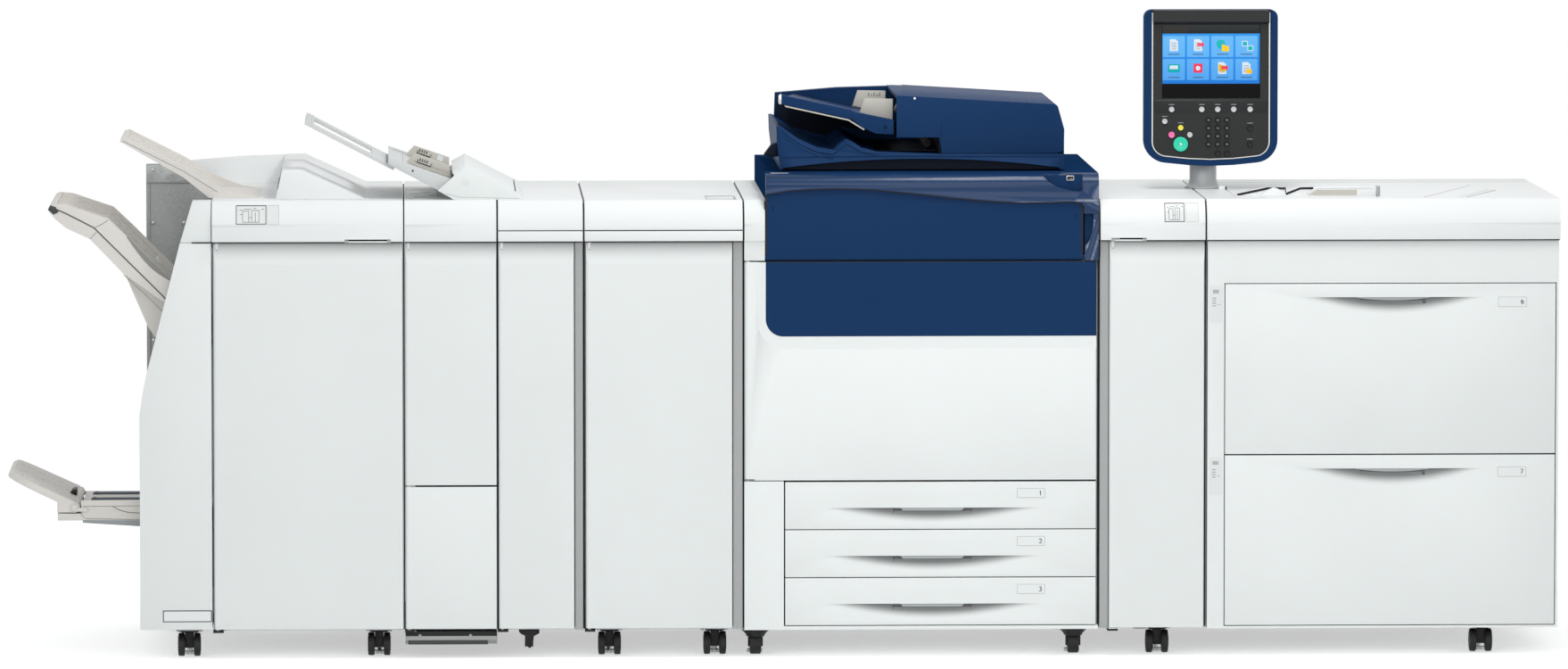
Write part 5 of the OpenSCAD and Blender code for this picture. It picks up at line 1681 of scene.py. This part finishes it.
@dataclass
class DocumentFeeder(Assembly):
    """Document feeder: dark liners, painted shade in its arched recess, double line of its wall, silver cap,
    strips, rollers and pad.
    """

    lead: str = "engine_frame"
    sole: float = 61.0
    arch_radius: float = 2320.0

    def build(self) -> None:
        """Makes the pieces."""
        base = self.line.deck + self.sole
        near, far = corners("document_feeder")[0][1], corners("feed_cover")[1][1]
        self.block("platen_pad", (100, near + 30, base - 1.6), (682, far - 60, base + 8), LABEL,
            "document_feeder", soft=1.5)
        # Painted shade: a near-black sheet on the floor of the arched recess in the base's front.
        self.slab("arch_floor_shade", [(87, base + 0.6)] + self.arch(base) + [(683, base + 0.6)],
            (near + 6.8, near + 7.9), DEEP, "document_feeder")
        self.wall_lines(near, base)
        self.slab("release_lever", moved(0, base, (45, 31), (62, 54), (76, 58), (76, 28), (60, 26)),
            (near + 8, near + 44), DEEP, "document_feeder", soft=2)
        self.slab("document_tray_cap", moved(0, base, (77.4, 142), (83, 141), (83.6, 162), (81, 163),
            (77.2, 159.5)), (near - 0.9, near + 20), TRIM, "document_tray", soft=1)
        self.stripe("document_tray_strip", moved(0, base, (92, 137), (228, 107), (262, 86)), 3,
            (near + 0.5, near + 90), GUIDE, "document_tray")
        self.cavity(near, far, base)
        dot = self.shape().lathe((371, near, base + 153.5),
            ((0.2, -0.9), (2.2, -0.7), (2.8, -0.1), (2.8, 0.3), (0.2, 0.3)), 24)
        self.add("feed_lamp", dot, LABEL, "feed_cover")
        line = self.shape().ribbon([(612, base + 146.8), (622, base + 136)], 0.8, near - 0.3, near + 0.2)
        line.ribbon([(428, base + 69.5), (428, base + 100)], 0.8, near - 0.3, near + 0.2)
        self.add("feed_cover_lines", line, DEEP, "feed_cover")
        self.guides(base)

    def arch(self, base: float) -> list[Point]:
        """The arched upper edge of the recess in the base's front."""
        sag = [(x, math.sqrt(self.arch_radius ** 2 - (x - 385) ** 2))
            for x in (87, 160, 235, 310, 385, 460, 535, 610, 683)]
        return [(x, base + 22.4 - self.arch_radius + rise) for x, rise in sag]

    def wall_lines(self, near: float, base: float) -> None:
        """The double line below the wave of the near wall, and its rim."""
        wave = moved(0, base, (82, 84), (122, 56), (160, 38.5), (194, 33), (211, 46), (224, 56), (237, 49),
            (258, 38), (291, 31))
        ridge = self.shape().ribbon(wave, 1.4, near - 0.8, near + 0.3)
        ridge.ribbon([(a + 1.5, b - 9) for a, b in wave[:4]], 1.1, near - 0.5, near + 0.3)
        ridge.ribbon(moved(0, base, (84, 26.5), (150, 28), (385, 29.4), (690, 27.6)), 1.2, near - 0.6,
            near + 0.3)
        self.add("base_wall_lines", ridge, BLUE, "document_feeder")

    def cavity(self, near: float, far: float, base: float) -> None:
        """Dark lining between the base and the tray, with ribs and exit rollers."""
        lining = self.shape().box((240, near + 34, base + 38), (422, far - 38, base + 39.2))
        lining.box((424, near + 7, base + 34.4), (429.4, far - 2, base + 66.6))
        self.add("exit_lining", lining, DEEP, "document_feeder")
        self.slab("exit_back", moved(0, base, (88, 96), (122, 68), (200, 46), (222, 68), (420, 40), (420, 66),
            (360, 66), (360, 76), (90, 130)), (far - 36.2, far - 35.3), DEEP, "document_feeder")
        rolls = self.shape().bar((402, near + 84, base + 52), (402, far - 44, base + 52), 3, soft=0.3)
        self.add("exit_roller_shaft", rolls, BLACK, "document_feeder")
        tyres = self.shape()
        for i in range(5):
            tyres.lathe((402, near + 90 + i * 80, base + 52), roller(3.1, 9, 22, (1, 1)), 28)
        self.add("exit_rollers_feeder", tyres, TYRE, "document_feeder")
        pick = self.shape().lathe((352, near + 190, base + 118),
            ((3, 0), (13, 0), (14, 1.5), (14, 58), (13, 60), (3, 60)), 32)
        pick.box((346, near + 184, base + 128), (440, near + 256, base + 146), 3)
        self.add("pick_roller", pick, SKIRT, "feed_cover")
        channel = self.shape().box((440, near + 24, base + 66.6), (664, far - 46, base + 68.4), 0.6)
        for i in range(8):
            channel.box((450, near + 40 + i * 54, base + 68), (660, near + 43 + i * 54, base + 72), 0.8)
        self.add("paper_channel", channel, SKIRT, "document_feeder")

    def guides(self, base: float) -> None:
        """Marks on the rear guide and slots in the tray."""
        marks = self.shape()
        for i in range(5):
            x, head = 289 + i * 6, 142 if i % 2 else 145
            marks.box((x, 141.6, base + 137), (x + 1.6, 142.3, base + head))
        self.add("guide_marks", marks, INK, "document_rear_guide")
        slots = self.shape()
        for y in (-170, -150, 108, 126):
            slots.ribbon([(118, base + 145.2), (300, base + 107.2)], 0.6, y, y + 2)
        self.add("tray_slots", slots, DEEP, "document_tray")


@dataclass
class Interface(Assembly):
    """Interface module: grip, diagram, grey side strip and inner parts."""

    lead: str = "interface_frame"

    def build(self) -> None:
        """Makes the pieces."""
        self.lift_bar((23, 99))
        self.diagram("interface_diagram", (138, 181), (941, 981), (184, 211))
        self.side_strip((0.2, 17.6))
        self.add("interface_inner_sheets", self.inner_sheets((90, 540), (660, 880)), INNER)
        self.knobs((60, 110, 160), 600, (16, 13), LEVER)
        self.seam()


@dataclass
class ControlPanel(Assembly):
    """Control panel: silver trim, screen with tiles, keys in their colours, ledge and rear vents."""

    lead: str = "panel_shell"

    def __post_init__(self) -> None:
        """Reads the panel's middle, foot, face and back from its shell."""
        low, high = corners(self.lead)
        self.middle = self.width / 2
        self.foot = low[2]
        self.face = low[1]
        self.rear = high[1]

    def build(self) -> None:
        """Makes the pieces."""
        self.trim()
        self.screen()
        self.keys()
        self.back()

    def outline(self, inset: float) -> list[Point]:
        """The panel's outline without its top edge, moved in by inset."""
        half, radius, base = self.middle - inset, 50 - inset, self.foot + 7 + inset * 0.8
        right = arc(self.middle + half - radius, base + radius, radius, -84, 0, 10)
        left = arc(self.middle - half + radius, base + radius, radius, 180, 264, 10)
        return left + moved(self.middle, base, (-50, -5), (0, -7), (50, -5)) + right

    def trim(self) -> None:
        """The silver line round the face, and the ledge below the screen."""
        top = self.foot + 336
        rows = []
        for inset, out in ((17.0, -1.0), (19.6, -1.0), (19.6, 1.5), (17.0, 1.5)):
            line, y = self.outline(inset), self.face + out
            rows.append([(line[0][0], y, top)] + [(a, y, b) for a, b in line] + [(line[-1][0], y, top)])
        self.add("panel_trim", self.shape().skin(rows), TRIM, "panel_face", smooth=50)
        ledge = self.shape().prism(moved(self.face, self.foot, (1, 147), (-2, 143), (-2, 140), (0.2, 113)),
            24, self.width - 24, 0.5, axis=Axis.X)
        self.add("panel_ledge", ledge, FACE, "panel_face")
        slit = self.shape()
        for i in range(9):
            x = 60 + i * 5
            slit.box((x, self.face - 2.3, self.foot + 141), (x + 2.5, self.face - 1.8, self.foot + 142.2))
        self.add("panel_speaker", slit, BLACK, "panel_face")

    def screen(self) -> None:
        """The picture: header, field, eight tiles with generic marks, and a dark bar."""
        low, high = corners("touch_screen")
        x0, x1 = low[0] - self.left + 0.4, high[0] - self.left - 0.4
        glass, y = low[1], low[1] - 0.3
        bar, field_foot, head, top = (self.foot + z for z in (149, 180, 289.6, 308.4))
        for name, finish, z0, z1 in (("screen_header", HEADER, head, top),
                ("screen_field", FIELD, field_foot, head), ("screen_bar", DARK, bar, field_foot)):
            self.block(name, (x0, y, z0), (x1, glass + 0.2, z1), finish, "touch_screen")
        self.slab("screen_tab", rounded((x0 + 2, head), (x0 + 56, top - 4), 3), (y - 0.2, y + 0.1), TAB,
            "touch_screen")
        tiles = self.shape()
        spots = [(self.middle + dx, self.foot + dz) for dz in (261.5, 211) for dx in (-81, -28, 25, 78)]
        for x, mid in spots:
            tiles.prism(rounded((x - 24.3, mid - 23.2), (x + 24.3, mid + 23.2), 2.5), y - 0.25, y + 0.1)
        self.add("screen_tiles", tiles, TILE, "touch_screen")
        self.icons([(x, mid + 3) for x, mid in spots], y - 0.5)

    def icons(self, spots: Sequence[Point], y: float) -> None:
        """Generic marks on the tiles: pages, arrows, a globe, a folder and small devices."""
        white, red, teal, gold, ink = (self.shape() for _ in range(5))
        for i in (0, 1, 6, 7):
            x, z = spots[i]
            white.prism(moved(x, z, (-9, -13), (9, -13), (9, 8), (3, 13), (-9, 13)), y, y + 0.3)
            for k in range(4):
                ink.box((x - 6, y - 0.1, z - 9 + k * 4.5), (x + 6, y + 0.1, z - 8 + k * 4.5))
        for x, z in (spots[1], spots[6]):
            red.prism(moved(x, z, (-2, -2), (8, -2), (8, -6), (14, 1), (8, 8), (8, 4), (-2, 4)), y - 0.2,
                y + 0.1)
        x, z = spots[2]
        teal.prism(arc(x - 3, z + 2, 10, 0, 345, 23), y, y + 0.3)
        for x, z in ((spots[2][0] + 7, spots[2][1] - 7), spots[6]):
            gold.prism(moved(x, z, (-8, -7), (8, -7), (8, 5), (0, 5), (-2, 8), (-8, 8)), y - 0.1, y + 0.2)
        x, z = spots[3]
        for dx, dz in ((-10, 2), (2, -8)):
            white.box((x + dx, y, z + dz - 5), (x + dx + 13, y + 0.3, z + dz + 7))
            teal.box((x + dx + 1.5, y - 0.2, z + dz - 3.5), (x + dx + 11.5, y + 0.1, z + dz + 5.5))
        x, z = spots[4]
        teal.prism(rounded((x - 13, z - 9), (x + 13, z + 9), 3), y, y + 0.3)
        white.box((x - 9, y - 0.2, z - 2), (x + 9, y + 0.1, z + 6))
        x, z = spots[5]
        red.prism(rounded((x - 10, z - 10), (x + 10, z + 10), 2), y, y + 0.3)
        white.prism(arc(x, z, 5, 0, 345, 23), y - 0.2, y + 0.1)
        x, z = spots[7]
        gold.prism(rounded((x, z - 12), (x + 12, z - 2), 2), y - 0.2, y + 0.1)
        for k, (x, z) in enumerate(spots):
            ink.box((x - 13 + k % 3, y, z - 21), (x + 13 - k % 2, y + 0.3, z - 19.4))
        for name, shape, finish in (("icon_pages", white, PAPER), ("icon_arrows", red, RED),
                ("icon_devices", teal, TEAL), ("icon_folders", gold, GOLD), ("icon_lines", ink, INK)):
            self.add(name, shape, finish, "touch_screen")

    def cap(self, shape: Shape, x: float, z: float, radius: float) -> None:
        """Adds a key with a soft rim and a shallow dish."""
        front = corners("panel_keys")[0][1]
        shape.lathe((self.middle + x, front, self.foot + z), ((0.1, 0.7), (radius * 0.6, 0.45),
            (radius * 0.85, 0.0), (radius - 0.25, 0.25), (radius, 1.0), (radius, 6), (0.1, 6)), 36)

    def keys(self) -> None:
        """The keys, the mark on the start key, and the dashes above and on the keys."""
        keypad = [(15 + column * 20.2, 48 + row * 17.6) for column in (-1, 0, 1) for row in range(4)]
        silver, yellow, black, green, pink = (self.shape() for _ in range(5))
        for x, z in ((-86, 124), (-20, 124), (15, 124), (50, 124), (86, 124), (-101, 98), (-46, 68.5)):
            self.cap(silver, x, z, 6)
        self.cap(yellow, -66, 84, 6)
        for x, z in keypad + [(15, 27.5), (35.2, 27.5), (86, 83), (86, 48)]:
            self.cap(black, x, z, 6)
        self.cap(green, -66, 48, 16)
        self.cap(pink, -86, 68.5, 7)
        self.add("silver_keys", silver, SILVER, "panel_keys", "panel_keys")
        self.add("yellow_key", yellow, YELLOW, "panel_keys")
        self.add("black_keys", black, BLACK, "panel_keys")
        self.add("start_key_cap", green, GREEN, "start_key", "start_key")
        self.add("stop_key_cap", pink, PINK, "stop_key", "stop_key")
        front = corners("panel_keys")[0][1]
        self.slab("start_mark", moved(self.middle, self.foot, (-68, 44), (-62, 48), (-68, 52)),
            (front - 0.1, front + 0.7), LABEL, "start_key")
        lines = self.shape()
        for x, z in ((-86, 134), (-20, 134), (15, 134), (50, 134), (86, 134), (-101, 108), (-66, 94),
                (86, 93), (86, 58)):
            lines.box((self.middle + x - 6, self.face - (2.2 if z == 134 else 0.5), self.foot + z),
                (self.middle + x + 6, self.face + 0.1, self.foot + z + 1.4))
        for x, z in moved(self.middle, self.foot, *keypad):
            lines.box((x - 2.2, front + 0.05, z - 0.9), (x + 2.2, front + 0.7, z + 0.9))
        self.add("key_dashes", lines, INNER, "panel_face")

    def back(self) -> None:
        """Vents and screws on the back of the shell."""
        slots = self.shape()
        for i in range(10):
            z = self.foot + 236 + i * 8
            slots.box((60, self.rear - 0.3, z), (self.width - 60, self.rear + 0.4, z + 3), 0.3)
        self.add("panel_vents", slots, DEEP, "panel_shell")
        screws = self.shape()
        for x in (24, self.width - 24):
            for z in (60, 318):
                screws.lathe((x, self.rear, self.foot + z),
                    ((0.2, 1.4), (3.4, 1.2), (4, 0.6), (4, -0.3), (0.2, -0.3)), 20)
        self.add("panel_screws", screws, STEEL, "panel_shell")


@dataclass
class PaperFeeder(Assembly):
    """Paper feeder: indicator panels, number plates, grips, the bypass fittings and deck grooves."""

    lead: str = "feeder_top_cover"

    def build(self) -> None:
        """Makes the pieces."""
        self.drawer_fittings()
        self.indicators()
        self.bypass()
        self.deck_lines()

    def drawer_fittings(self) -> None:
        """Plates with a numeral, dark grips, and the lifting plates and runners inside."""
        door = self.line.door
        for number, node, foot in ((6, "upper_drawer", 756), (7, "lower_drawer", 388)):
            low, high = corners(node)
            self.number_plate(node, number, (630.6, 692.4), (foot, 21.1), (680, 6))
            middle = (low[0] + high[0]) / 2 - self.left + 6
            grip = high[2] - 29
            lens = [(middle - 85 + 170 * t, grip + 0.4 - 7.6 * math.sin(math.pi * t) ** 0.6)
                for t in (i / 16 for i in range(17))]
            self.slab(f"{node}_grip", lens, (door + 6, door + 14.8), GRIP, node, soft=0.4)
            self.sill(node, middle - 6, grip, 70, (195, 40))
            plate = self.shape().box((70, door + 70, low[2] + 40),
                (self.width - 40, door + 540, low[2] + 43), 1)
            plate.box((150, door + 60, low[2] + 10), (155, door + 500, low[2] + 240), 1.5)
            plate.box((self.width - 130, door + 60, low[2] + 10),
                (self.width - 125, door + 500, low[2] + 240), 1.5)
            self.add(f"{node}_lift_plate", plate, METAL, node)
            self.runners(node, (52, self.width - 30), (low[2] + 60, low[2] + 86))

    def indicators(self) -> None:
        """Two panels on the left strip, each with a pictogram frame and level marks."""
        door = self.line.door
        for name, low, high in (("upper", 724, 802), ("lower", 351, 431)):
            self.plate(f"{name}_indicator", (6, low), (34, high), LABEL, None, proud=0.5, radius=2)
            ink = self.shape()
            for i in range(4):
                ink.prism(rounded((12, high - 44 + i * 5.4), (20, high - 41.4 + i * 5.4), 0.8), door - 0.7,
                    door - 0.3)
            ink.prism(rounded((13, high - 16), (26, high - 8), 1.5), door - 0.7, door - 0.3)
            for x in (24, 28):
                ink.bar((x, door - 0.7, high - 40), (x, door - 0.3, high - 40), 1.3, sides=16)
            self.add(f"{name}_indicator_marks", ink, FAINT)

    def bypass(self) -> None:
        """Bed, folded side guide with its beige field and round grip, fin and notched body of the bypass."""
        deck = self.line.deck
        left, right, near, far = 70, 376, -300, 16
        self.block("bypass_bed", (left + 0.3, near + 0.3, deck - 12), (right - 0.3, far - 0.3, deck - 0.8),
            COVER, soft=0.4)
        crown = moved(0, deck, (77, 0.6), (143, 14.6), (158, 15), (181, 14.4), (183, 2.4), (214, 14.4),
            (242, 15), (366, 15))
        self.slab("bypass_body", crown + [(366, deck - 1), (77, deck - 1)], (-215, -150), COVER)
        self.stripe("bypass_edge", crown[:7], 4.8, (-215.6, -212), BLACK)
        self.slab("bypass_fin", moved(0, deck, (124, -1), (182, -1), (178, 6), (162, 16), (154, 18),
            (140, 12)), (-240, -230), COVER, soft=1.5)
        self.slab("bypass_guide", moved(0, deck, (218, -1), (376, -1), (376, 20), (256, 20), (246, 18),
            (222, 3)), (-250, -238), COVER, soft=1.5)
        self.slab("bypass_field", moved(0, deck, (226, 1.5), (334, 1.5), (334, 13.6), (248, 13.6)),
            (-250.5, -249), GUIDE)
        rail = self.shape().ribbon(moved(0, deck, (224, 4), (250, 16.4), (368, 16.4)), 0.8, -250.3, -249)
        rail.ribbon([(254, deck + 2), (254, deck + 13)], 0.6, -250.7, -249)
        self.add("bypass_guide_lines", rail, FAINT)
        self.add("bypass_grip", self.shape().bar((379, -246, deck), (379, -246, deck + 21.6), 5.4, soft=1.6),
            GREY_AND_SHADE)
        self.block("bypass_clip", (66, -24, deck), (69, -8, deck + 7), BLACK, soft=0.3)
        self.block("bypass_clip_plate", (52, -20, deck - 0.5), (66, -8, deck + 8), COVER, soft=0.5)

    def deck_lines(self) -> None:
        """Shallow lines across the deck and the finger wedge at its right."""
        deck = self.line.deck
        lines = self.shape().box((4, 309, deck - 0.3), (self.width - 6, 313, deck + 0.35))
        lines.box((4, 243, deck - 0.3), (self.width - 6, 246, deck + 0.35))
        lines.ribbon([(475, -305), (618, 124)], 2.4, deck - 0.3, deck + 0.35, Axis.Z)
        lines.ribbon([(552, -305), (640, -44), (654, -64), (568, -305)], 2.0, deck - 0.3, deck + 0.7, Axis.Z)
        self.add("deck_lines", lines, FAINT)
        wedge = self.shape().prism([(553, -305), (567, -305), (652, -64), (640, -46)], deck - 0.3, deck + 0.6,
            0.2, axis=Axis.Z)
        self.add("finger_wedge", wedge, LABEL)


@dataclass
class RunningGear(Assembly):
    """Casters: hubs on the wheels, ribbed housings over the engine's casters, plates and bolts."""

    lead: str = "caster_forks"

    def build(self) -> None:
        """Makes the pieces."""
        twins = (-1284, -874, -376, -148, 811, 1515)
        wides = (-60, 629)
        for row in ("front", "rear"):
            low, high = corners(f"{row}_wheels")
            y, z = (low[1] + high[1]) / 2, (low[2] + high[2]) / 2
            hubs = Shape()
            for x in twins:
                for side in (-1, 1):
                    for face in (10, 24):
                        out = side if face == 24 else -side
                        hubs.lathe((x + side * face, y, z), ((4.3, out * 0.6), (9, out * 0.6),
                            (14, out * 0.2), (16, out * 0.7), (16.5, -out * 0.6), (4.3, -out * 0.6)), 28,
                            axis=Axis.X)
            for x in wides:
                for side in (-1, 1):
                    hubs.lathe((x + side * 12, y, z), ((4.3, side * 0.6), (15, side * 0.6),
                        (16.5, -side * 0.5), (4.3, -side * 0.5)), 28, axis=Axis.X)
            self.add(f"{row}_hubs", hubs, SKIRT, f"{row}_wheels")
            self.housings(row, y, wides)
            self.plates(row, y, twins + wides)

    def oval(self, x: float, y: float, z: float, across: float, along: float,
            rib: float = 0.0) -> list[tuple[float, float, float]]:
        """A closed oval row of points, of which every second one stands out by the share rib."""
        steps = 48
        turns = [(math.tau * k / steps, 1 + rib * (k % 2)) for k in range(steps + 1)]
        return [(x + across * math.cos(a) * out, y + along * math.sin(a) * out, z) for a, out in turns]

    def housings(self, row: str, y: float, places: Iterable[float]) -> None:
        """Ribbed oval cones round the upper part of the wide casters."""
        outside = ((59.6, 32, 33), (55, 31, 32), (50, 26, 30), (44, 20.5, 29.5), (40, 19, 29))
        inside = ((40, 17.6, 27.5), (44, 18, 27.8), (50, 19, 28), (55.5, 20, 28), (59.6, 20, 28))
        shape = Shape()
        for x in places:
            rows = [self.oval(x, y, *level, rib=0.035) for level in outside]
            shape.skin(rows + [self.oval(x, y, *level) for level in inside], closed=True)
        self.add(f"{row}_caster_housings", shape, BLACK)

    def plates(self, row: str, y: float, places: Iterable[float]) -> None:
        """Bolted top plates."""
        bolts, plates = Shape(), Shape()
        for x in places:
            plates.prism([(a + x, b + y) for a, b in rounded((-29, -29), (29, 29), 5)], 57.4, 59.9, 0.4,
                axis=Axis.Z)
            for a in (-23, 23):
                for b in (-23, 23):
                    bolts.bar((x + a, y + b, 54.2), (x + a, y + b, 57.6), 4, sides=6, soft=0.3)
        self.add(f"{row}_caster_plates", plates, METAL)
        self.add(f"{row}_caster_bolts", bolts, STEEL)


@dataclass
class BackPanels(Assembly):
    """Rear sheets with louvres and screws, and the power inlet of the print engine."""

    lead: str = "engine_frame"
    modules: tuple[str, ...] = ("finisher", "folder", "transport", "trimmer", "engine", "interface", "feeder")
    side: float = 8.0

    def build(self) -> None:
        """Makes the pieces."""
        back = self.line.back
        for module in self.modules:
            low, high = corners(f"{module}_frame")
            left = low[0]
            if module == "finisher":
                cover = corners("finisher_top_cover")
                left = high[0] - (cover[1][0] - cover[0][0])
            self.sheet(module, left + self.side, high[0] - self.side, back)
            self.vents(module, left + self.side, high[0] - self.side, back)
        self.inlet(back)

    def sheet(self, module: str, x0: float, x1: float, back: float) -> None:
        """Two removable sheets with a gap between them, and their screws."""
        shape, screws = Shape(), Shape()
        top = self.line.fascia - 12
        for z0, z1 in ((76, 430), (434, top)):
            shape.prism(rounded((x0, z0), (x1, z1), 4), back - 1.9, back - 0.8, 0.3)
            for x in (x0 + 9, x1 - 9):
                for z in (z0 + 12, (z0 + z1) / 2, z1 - 12):
                    screws.lathe((x, back - 0.8, z),
                        ((0.2, 0.7), (3, 0.6), (3.8, 0.2), (3.8, -0.3), (0.2, -0.3)), 20)
        self.add(f"{module}_rear_sheets", shape, SHELL)
        self.add(f"{module}_rear_screws", screws, STEEL)

    def vents(self, module: str, x0: float, x1: float, back: float) -> None:
        """Rows of louvre slots in the upper sheet."""
        slots = Shape()
        columns = max(1, int((x1 - x0 - 60) // 130))
        pitch = (x1 - x0) / columns
        for column in range(columns):
            mid = x0 + (column + 0.5) * pitch
            half = min(48.0, pitch / 2 - 18)
            for row in range(7):
                z = 620 + row * 14
                slots.prism(rounded((mid - half, z), (mid + half, z + 5), 2.4, 3), back - 0.9, back - 0.35)
        self.add(f"{module}_louvres", slots, GAP)

    def inlet(self, back: float) -> None:
        """A recessed mains inlet, its rocker switch and three data sockets, all without a cord."""
        x, z = 70.0, 150.0
        self.slab("inlet_frame", rounded((x - 34, z - 34), (x + 34, z + 60), 4), (back - 1, back - 0.3),
            SKIRT, soft=0.2)
        self.slab("inlet_socket", moved(x, z, (-14, -11), (14, -11), (14, 4), (8, 11), (-8, 11), (-14, 4)),
            (back - 0.6, back - 0.15), BLACK)
        pins = self.shape()
        for dx, dz in ((-7, -2), (7, -2), (0, 4)):
            pins.box((x + dx - 1, back - 0.4, z + dz - 2.5), (x + dx + 1, back - 0.05, z + dz + 2.5))
        self.add("inlet_pins", pins, STEEL)
        self.block("inlet_switch", (x - 12, back - 0.5, z + 26), (x + 12, back - 0.1, z + 46), TYRE,
            soft=0.15)
        ports = self.shape()
        for i in range(3):
            ports.prism(rounded((x + 60 + i * 26, z), (x + 76 + i * 26, z + 13), 1.2), back - 0.6,
                back - 0.25)
        self.add("data_sockets", ports, BLACK)


def main() -> None:
    """Loads the frame and builds the sub-assemblies in order."""
    logging.basicConfig(level=logging.INFO, format="%(name)s: %(message)s")
    FRAME.update(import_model())
    Studio().build()
    shop, line = Workshop(), Line.read()
    for assembly in (Carried, Finisher, Folder, Inserter, Transport, Trimmer, Engine, Scanner, DocumentFeeder,
            Interface, ControlPanel, PaperFeeder, RunningGear, BackPanels):
        assembly(shop, line).build()


if __name__ == "__main__":
    main()
